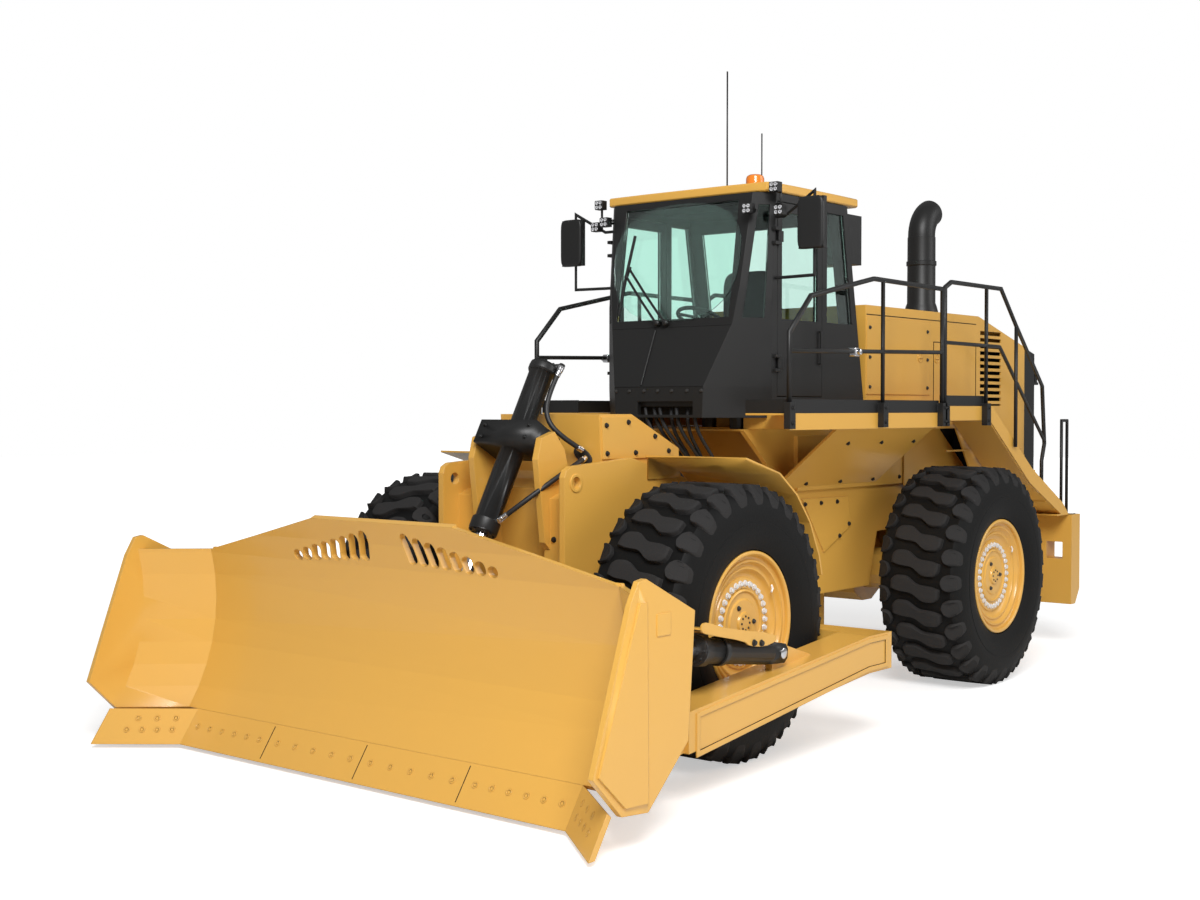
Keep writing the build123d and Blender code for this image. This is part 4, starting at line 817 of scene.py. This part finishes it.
def on_screen(across, height, lift):
    """Point of the windscreen's plane: across from -1 to 1 between its edges, height from 0 to 1."""
    place = FOOT + height * (BROW - FOOT)
    outward = np.array([0, -(BROW[2] - FOOT[2]), BROW[1] - FOOT[1]])
    place[0] *= across
    return place + lift * outward / np.linalg.norm(outward)


SHEET_MIDDLE = [0, 0.5]
sheet_rim = soften([(-0.965, 0.03), (0.965, 0.03), (0.965, 0.965), (-0.965, 0.965)], 3) - SHEET_MIDDLE
sheet_rim = np.sign(sheet_rim) * np.minimum(np.abs(sheet_rim), [0.955, 0.462]) + SHEET_MIDDLE
pane = np.array([[on_screen(a, b, lift) for a, b in sheet_rim] for lift in (0.004, 0.011)])
add_piece("windscreen", "rear_frame", glass, [skin(pane, caps=True)], smooth=False)
lining = [rounded_box((-0.62, -0.5, 3.855), (0.62, 0.6, 3.876), 0.08, 10)]
lining += [rounded_box((-0.3, -0.4, 3.78), (0.3, -0.15, 3.85), 0.25, 12)]
add_piece("head_lining", "rear_frame", cloth, lining)
print("the windscreen has", len(sheet_rim), "rim points")

# %% [markdown]
# The wiper hangs on two parallel arms, and its hose runs down the front under the glass. All are bars
# through points given in x, z and the height over the glass.

# %% Wiper and washer line


def screen_point(x, z, lift):
    """Point over the windscreen at a true x and z."""
    height = (z - FOOT[2]) / (BROW[2] - FOOT[2])
    return on_screen(x / (FOOT[0] + height * (BROW[0] - FOOT[0])), height, lift)


def on_glass(points, radius):
    """Bar through points (x, z, lift) over the windscreen."""
    return tube([screen_point(*point) for point in points], radius, 8)


PIVOT = [(0, 0.026), (0.045, 0.024), (0.055, 0.014)]
wipers = []
for pivot, tip in (((-0.11, 2.93), (-0.45, 3.31)), ((-0.03, 2.93), (-0.42, 3.36))):
    middle = 0.5 * np.add(pivot, tip)
    wipers.append(lathe(PIVOT, screen_point(*pivot, -0.004), (0, -1, 0.15), 20))
    wipers.append(on_glass([(*pivot, 0.045), (*middle, 0.05), (*tip, 0.034)], 0.01))
wipers.append(on_glass([(-0.49, 3.0, 0.024), (-0.45, 3.31, 0.028), (-0.4, 3.62, 0.024)], 0.012))
wipers.append(on_glass([(-0.45, 3.29, 0.032), (-0.42, 3.38, 0.032)], 0.016))
washer = [on_surface("cab_shell", start, BACK)[0] for start in row((-0.13, -3, 2.88), (-0.16, -3, 2.46), 5)]
wipers.append(tube(np.array(washer) - (0, 0.006, 0), 0.006, 6))
add_piece("wipers", "rear_frame", black, wipers)
print("wiper:", len(wipers), "bars")

# %% [markdown]
# Each pillar carries work lamps of four bowls behind one lens. A bowl is a turned dimple in chrome,
# which is enough for a glint. The beacon is an amber dome.

# %% Lamps and beacon
LAMPS = [(0.824, -0.549, 3.905), (0.864, -0.549, 3.734), (0.671, -0.675, 3.747)]
BEACON = (0.5, -0.3, 3.962)
BOWL = [(0, 0.014), (0.004, 0.014), (0.0045, 0.01), (0.002, 0.004)]
DOME = [(0, 0.07), (0.055, 0.069), (0.075, 0.062), (0.086, 0.045), (0.09, 0.02)]
bowls, glasses = [], []
for lamp in np.array(LAMPS):
    for dx in (-0.017, 0.017):
        for dz in (-0.017, 0.017):
            bowls.append(lathe(BOWL, lamp + (dx, 0.002, dz), FORWARD, 16))
    glasses.append(rounded_box(lamp - (0.034, 0.009, 0.034), lamp + (0.034, 0.001, 0.034), 0.15, 10))
add_piece("lamp_bowls", "rear_frame", chrome, mirrored(bowls))
add_piece("lamp_lenses", "rear_frame", lens, mirrored(glasses))
add_piece("beacon", "rear_frame", amber, [lathe(DOME, BEACON, UP, 32)])
print(2 * len(bowls), "lamp bowls")

# %% [markdown]
# The roof is one pressed sheet. Rings of the same plan go up its thin rim and then inward over the
# crown, so that light runs over it without a break. The mirrors have soft housings and bright panes.

# %% Roof, aerial bases and mirrors
ROOF_HALF = np.array([0.78, 0.665])
ROOF_MIDDLE = np.array([0, 0.135])


def roof_top(x, y):
    """Height of the roof: a crown that falls as one minus the square of the distance to each edge."""
    across, along = x / ROOF_HALF[0], (y - ROOF_MIDDLE[1]) / ROOF_HALF[1]
    return 3.952 + 0.062 * (1 - across ** 2) * (1 - along ** 2)


PLAN = [(-1, -0.9), (-0.93, -1), (0.93, -1), (1, -0.9), (1, 0.93), (0.95, 1), (-0.95, 1), (-1, 0.93)]
plan = soften(PLAN, 1)
rings = []
for scale, height in ((0.965, 3.884), (0.99, 3.886), (1.0, 3.895), (1.0, 3.944), (0.99, 3.953)):
    flat = ROOF_MIDDLE + scale * plan * ROOF_HALF
    rings.append(np.column_stack([flat, np.full(len(flat), height)]))
for scale in (0.9, 0.75, 0.6, 0.45, 0.3, 0.15):
    flat = ROOF_MIDDLE + scale * plan * ROOF_HALF
    rings.append(np.column_stack([flat, roof_top(*flat.T)]))
roof = skin(np.array(rings), caps=True)
add_piece("roof_panel", "rear_frame", yellow, [roof], replaces=["cab_roof"])
BASE = [(0, 0.03), (0.014, 0.028), (0.022, 0.01)]
bases = [lathe(BASE, (x, y, roof_top(x, y) - 0.004), UP, 16) for x, y in ((-0.1, 0.2), (0.1, 0.4))]
add_piece("aerial_bases", "rear_frame", black, bases)
heads = mirrored([rounded_box((1.02, -0.545, 3.436), (1.234, -0.476, 3.814), 0.28, 16)])
add_piece("mirror_heads", "rear_frame", black, heads)
panes = mirrored([rounded_box((1.034, -0.48, 3.452), (1.22, -0.472, 3.798), 0.15, 10)])
add_piece("mirror_panes", "rear_frame", mirror_glass, panes)
print("the roof has", len(roof[1]), "faces")

# %% [markdown]
# The seat's pads are soft boxes that dip along sewn channels. A cloth simulation could crease them,
# but behind tinted glass they show as a dark shape. The steering wheel is a torus on three spokes, on
# a column with a foot.

# %% Seat and steering wheel


def cushion(low, high, groove_axis, grooves):
    """Soft box whose surface dips by a bell curve round each sewn channel."""
    points, faces = rounded_box(low, high, 0.34, 36)
    middle = (np.array(low) + np.array(high)) / 2
    for place in grooves:
        dip = np.exp(-((points[:, groove_axis] - place) / 0.008) ** 2) / 12
        points = middle + (points - middle) * (1 - dip[:, None])
    return points, faces


seat = cushion((-0.24, -0.16, 2.666), (0.24, 0.328, 2.784), 0, (-0.13, 0.13))
back = cushion((-0.24, 0.331, 2.676), (0.24, 0.449, 3.394), 2, (2.86, 3.02, 3.18))
base_pad = add_piece("seat_pad", "rear_frame", cloth, [seat], replaces=["seat_cushion"])
back_pad = add_piece("back_pad", "rear_frame", cloth, [back], replaces=["seat_back"])
HAND_R, GRIP_R = 0.172, 0.016
HAND_WAY = (0, -0.42, -0.9)
hand = [(GRIP_R * np.cos(t), HAND_R + GRIP_R * np.sin(t)) for t in np.arange(12) * np.pi / 6]
wheel_centre = np.array([0, -0.315, 2.985])
steering = [lathe(hand, wheel_centre, HAND_WAY, 40, closed=True)]
steering.append(lathe([(-0.015, 0.05), (0.03, 0.05)], wheel_centre, HAND_WAY, 24))
_, across, up = frame_of(HAND_WAY)
for t in (0.0, 2.1, 4.2):
    reach = np.cos(t) * across + np.sin(t) * up
    steering.append(tube([wheel_centre + 0.04 * reach, wheel_centre + 0.17 * reach], 0.012, 8))
steering.append(tube([(0, -0.42, 2.36), (0, -0.385, 2.62), (0, -0.33, 2.96)], 0.034, 16))
steering.append(rounded_box((-0.16, -0.47, 2.348), (0.16, -0.36, 2.6), 0.2, 12))
add_piece("steering", "rear_frame", black, steering, replaces=["console"])
print("each pad has", len(seat[1]), "faces")

# %% [markdown]
# ## Guards, stair panels and rail catch
#
# A guard of bent plate covers each tip cylinder. Each fold is an outline with the thickness of the
# sheet, because a press leaves flat plates with crisp edges.

# %% Tip guards
GUARD_AXIS = np.array([0, 0.9912, -0.1327])
GUARD_UP = np.array([0, 0.1327, 0.9912])
GUARD_SIDE = [(-0.955, 0.16), (-0.9, 0.172), (-0.7, 0.14), (-0.16, 0.124), (-0.15, 0.075),
              (-0.28, 0.04), (-0.44, 0.04), (-0.5, 0.07), (-0.9, 0.1), (-0.955, 0.115)]
SHEET = 0.012
GUARD_TOP = [(-0.07, -0.78), (0.1, -0.78), (0.1, -0.165), (-0.07, -0.165)]
GUARD_STEP = [(-0.07, -0.95), (0.1, -0.95), (0.1, -0.77), (-0.05, -0.77)]
GUARD_FOOT = [(-0.03, -0.48), (0.03, -0.48), (0.03, -0.45), (-0.03, -0.45)]
FOLDS = [(GUARD_TOP, 0.11, SHEET), (GUARD_STEP, 0.135, SHEET), (GUARD_FOOT, 0.079, 0.032)]
guard = [plate(soften(GUARD_SIDE, 1), TIP_REAR + (0.092, 0, 0), GUARD_AXIS, GUARD_UP, SHEET)]
for outline, height, drop in FOLDS:
    guard.append(plate(outline, TIP_REAR + height * GUARD_UP, LEFTWARD, GUARD_AXIS, -drop))
guard_bolts = []
for along in (-0.4, -0.32):
    spot = TIP_REAR + (0.104, 0, 0) + along * GUARD_AXIS + 0.062 * GUARD_UP
    guard_bolts += bolt(spot, LEFTWARD, 0.016)
for side, sign in SIDES:
    body = f"tip_cylinder_{side}"
    folds = [moved(part, flip=sign) for part in guard]
    heads = [moved(part, flip=sign) for part in guard_bolts]
    add_piece(f"guard_{side}", body, yellow, folds, smooth=False, replaces=[f"tip_guard_{side}"])
    add_piece(f"guard_bolts_{side}", body, black, heads)
print("each guard has", len(guard), "folds")

# %% [markdown]
# A panel closes the back of the stairs, and a plate the gap beside the frame. The catch that holds an
# open door sits on the handrail, where a ray from above finds it.

# %% Stair panels and rail catch
UNDER = [(2.3, 2.175), (2.383, 2.168), (3.219, 1.6), (3.93, 1.285)]
SECTION = [(0.8, 0), (1.146, 0), (1.146, 0.006), (0.8, 0.006)]
CLOSURE = [(1.86, 1.62), (3.2, 1.62), (2.45, 2.15), (2.28, 2.18), (1.44, 2.18), (1.44, 2.08), (1.86, 2.06)]
panel = np.array([[(x, y, z + dz) for x, dz in SECTION] for y, z in UNDER])
closure = plate(CLOSURE, (0.6, 0, 0), BACK, UP, 0.01)
stairs = mirrored([skin(panel, caps=True), closure])
add_piece("stair_panels", "rear_frame", yellow, stairs, smooth=False)
rail, _ = on_surface("handrails", (1.18, 0.01, 3.1), DOWN)
catch = [rounded_box(rail - (0.03, 0.035, 0.055), rail + (0.03, 0.035, 0.012), 0.2, 12)]
catch += [lathe([(0, 0.022), (0.03, 0.022), (0.034, 0.016)], rail + (0.028, 0, -0.02), LEFTWARD, 16)]
add_piece("rail_catches", "rear_frame", chrome, mirrored(catch))
print("the catches sit on the rail at", rail.round(3))

# %% [markdown]
# ## Lines under the cab
#
# Steel lines run from the cab's floor down to the hitch. They never move, so each is a bar along a
# formula: it falls evenly, drifts from its start to its end in x with one bow, and waves once in y.

# %% Fixed lines
LINES = [(-0.16, -0.04, 0.0), (-0.1, 0.03, 0.03), (-0.03, 0.1, 0.01), (0.05, 0.02, 0.05),
         (0.12, 0.16, 0.02), (0.2, 0.1, 0.06), (0.28, 0.26, 0.03)]
lines = []
t = np.linspace(0, 1, 14)
for start_x, end_x, back in LINES:
    path_x = start_x + (end_x - start_x) * t + 0.05 * np.sin(np.pi * t)
    path_y = -0.8 + back + 0.34 * t ** 1.5 - 0.05 * np.sin(2 * np.pi * t)
    path_z = 2.285 - 0.62 * t
    lines.append(tube(np.stack([path_x, path_y, path_z], axis=1), 0.014, 10))
add_piece("cab_lines", "rear_frame", hose_rubber, lines)
print(len(lines), "lines")

# %% [markdown]
# ## Smooth copies of curved solids
#
# The CAD's solids have flats where the real walls are round. A copy with its doubles merged is shaded
# smooth across the flats, and the CAD's own mesh stays as it is. The blade's copy also gets its slots
# cut wider, with round ends, by one Boolean against a mesh of all 16 slots.

# %% Smooth copies


def smooth_copy(node, body, material, angle=38, cutter=None):
    """Copy of a CAD node, merged, cut if a cutter is given, and smooth across angles below the limit."""
    mesh = nodes[node].data.copy()
    work = bmesh.new()
    work.from_mesh(mesh)
    bmesh.ops.remove_doubles(work, verts=work.verts, dist=1e-5)
    work.to_mesh(mesh)
    work.free()
    piece = new_object(f"{node}_skin", mesh)
    if cutter:
        cut = piece.modifiers.new("slots", "BOOLEAN")
        cut.operation = "DIFFERENCE"
        cut.object = cutter
        bpy.context.view_layer.update()
        ready = piece.evaluated_get(bpy.context.evaluated_depsgraph_get())
        piece.data = bpy.data.meshes.new_from_object(ready)
        piece.modifiers.clear()
    piece.data.materials.clear()
    piece.data.materials.append(material)
    piece.data.shade_smooth()
    piece.data.set_sharp_from_angle(angle=math.radians(angle))
    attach(piece, body)
    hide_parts(node)
    return piece


SLOTS = 8
SLOT_R, SLOT_LEAN = 0.03, math.radians(12)
SLOT_PITCH, SLOT_DROP = 0.095, 0.014


def slot_cutter(index, sign):
    """An oblong with half-round ends that leans to its side, and is wider behind the plate."""
    lean = sign * SLOT_LEAN
    run = 0.068 - 0.009 * index
    rows = []
    for y, half in ((-3.86, SLOT_R), (-3.665, SLOT_R), (-3.625, 0.041), (-3.5, 0.041)):
        rim = [(half * math.cos(t), run + SLOT_R * math.sin(t)) for t in np.linspace(0, np.pi, 9)]
        rim = np.array(rim + [(-a, -b) for a, b in rim])
        x = sign * (0.2 + SLOT_PITCH * index) + rim @ (math.cos(lean), -math.sin(lean))
        z = 1.43 - SLOT_DROP * index + rim @ (math.sin(lean), math.cos(lean))
        rows.append(np.column_stack([x, np.full(len(rim), y), z]))
    points, faces = skin(np.array(rows), caps=True)
    return points, [face[::-1] for face in faces]


slots = [slot_cutter(index, sign) for sign in (1, -1) for index in range(SLOTS)]
cutter = add_piece("slot_cutter", "blade", yellow, slots, smooth=False)
copy = smooth_copy("blade", "blade", yellow, 11, cutter)
bpy.data.objects.remove(cutter)
print("blade copy:", len(copy.data.polygons), "faces, the CAD's", len(nodes["blade"].data.polygons))

# %% [markdown]
# The dome stands in for the top of the beacon's post, so the copy of the roof's fittings loses its
# vertices there. The other copies only get smooth.

# %% Copies of the other solids
POST_R, POST_TOP = 0.09, 3.98
fittings = smooth_copy("roof_fittings", "rear_frame", black, 50)
work = bmesh.new()
work.from_mesh(fittings.data)
post = [vertex for vertex in work.verts if vertex.co.z > POST_TOP
        and math.hypot(vertex.co.x - BEACON[0], vertex.co.y - BEACON[1]) < POST_R]
bmesh.ops.delete(work, geom=post)
work.to_mesh(fittings.data)
work.free()
smooth_copy("front_fenders", "front_frame", yellow)
smooth_copy("lift_cylinder", "lift_cylinder", black)
smooth_copy("handrails", "rear_frame", black, 50)
for side in ("left", "right"):
    smooth_copy(f"tip_cylinder_{side}", f"tip_cylinder_{side}", black)

# %% [markdown]
# ## Floor, light and camera
#
# The photograph has a white ground with a soft shadow. A plain diffuse floor keeps the shadow. For the
# camera alone it also glows, more with the distance, so that it runs out to white and no more light
# falls on the machine.

# %% Floor
floor_mesh = bpy.data.meshes.new("floor")
floor_mesh.from_pydata([(-60, -60, 0), (60, -60, 0), (60, 60, 0), (-60, 60, 0)], [], [(0, 1, 2, 3)])
floor = new_object("floor", floor_mesh)
floor_finish = bpy.data.materials.new("pale_floor")
floor_finish.use_nodes = True
tree = floor_finish.node_tree
shader = tree.nodes["Principled BSDF"]
fill(shader, Base_Color=(0.86, 0.86, 0.86, 1), Roughness=0.9, Specular_IOR_Level=0.1)
glow = add_node(tree, "Emission")
path = add_node(tree, "LightPath")
lift = math_node(tree, "MULTIPLY")
spot = add_node(tree, "TexCoord")
far = add_node(tree, "VectorMath")
far.operation = "LENGTH"
fade = add_node(tree, "MapRange")
fill(fade, From_Min=5.0, From_Max=14.0, To_Min=0.5, To_Max=1.0)
wire(tree, spot, "Object", far, 0)
wire(tree, far, "Value", fade, "Value")
wire(tree, fade, "Result", lift, 1)
both = add_node(tree, "AddShader")
wire(tree, path, "Is Camera Ray", lift, 0)
wire(tree, lift, "Value", glow, "Strength")
wire(tree, shader, "BSDF", both, 0)
wire(tree, glow, "Emission", both, 1)
wire(tree, both, "Shader", tree.nodes["Material Output"], "Surface")
floor_mesh.materials.append(floor_finish)
print("floor:", len(tree.nodes), "shader nodes")

# %% [markdown]
# The world is dim for light and reflections, so that black paint stays black, and white where the
# camera sees it, also through glass.

# %% World
world = bpy.data.worlds.new("studio")
scene.world = world
world.use_nodes = True
tree = world.node_tree
background = tree.nodes["Background"]
fill(background, Color=(1, 1, 1, 1), Strength=0.27)
seen = add_node(tree, "Background")
fill(seen, Color=(1, 1, 1, 1))
path = add_node(tree, "LightPath")
mix = add_node(tree, "MixShader")
through = math_node(tree, "MAXIMUM")
wire(tree, path, "Is Camera Ray", through, 0)
wire(tree, path, "Is Transmission Ray", through, 1)
wire(tree, through, "Value", mix, "Fac")
wire(tree, background, "Background", mix, 1)
wire(tree, seen, "Background", mix, 2)
wire(tree, mix, "Shader", tree.nodes["World Output"], "Surface")
print("world light:", round(background.inputs["Strength"].default_value, 2))

# %% [markdown]
# The highlights of the photograph are broad and soft, so the lamps are large areas: a key high in
# front on the left, and a weak fill on the machine's left side.

# %% Softboxes


def softbox(name, place, look_at, size, power):
    """A square area lamp at place, facing look_at."""
    lamp = bpy.data.lights.new(name, "AREA")
    lamp.size = size
    lamp.energy = power
    holder = new_object(name, lamp)
    holder.location = place
    away = np.subtract(place, look_at)
    away = away / np.linalg.norm(away)
    holder.rotation_euler = (math.acos(away[2]), 0, math.atan2(away[0], -away[1]))
    return holder


softbox("key_lamp", (9, -11, 12), (0, 0, 1.5), 7, 2700)
softbox("fill_lamp", (12, 8, 8), (0, 0, 1.5), 8, 500)
print("lamps:", [light.name for light in bpy.data.lights])

# %% [markdown]
# The camera stands where the photograph was taken, low in front of the machine's left side. Its place,
# turn and lens come from a fit to the wheels and the straight edges.

# %% Camera
view = bpy.data.cameras.new("camera")
view.lens = 46.59
view.sensor_width = 36
camera = new_object("camera", view)
camera.location = (7.04, -10.17, 2.28)
camera.rotation_euler = (math.radians(90 - 1.51), 0, math.radians(39.21))
scene.camera = camera
print("camera", round(view.lens, 1), "mm at", tuple(round(value, 2) for value in camera.location))

# %% [markdown]
# The view is Standard, so that white stays white.

# %% View
scene.view_settings.view_transform = "Standard"
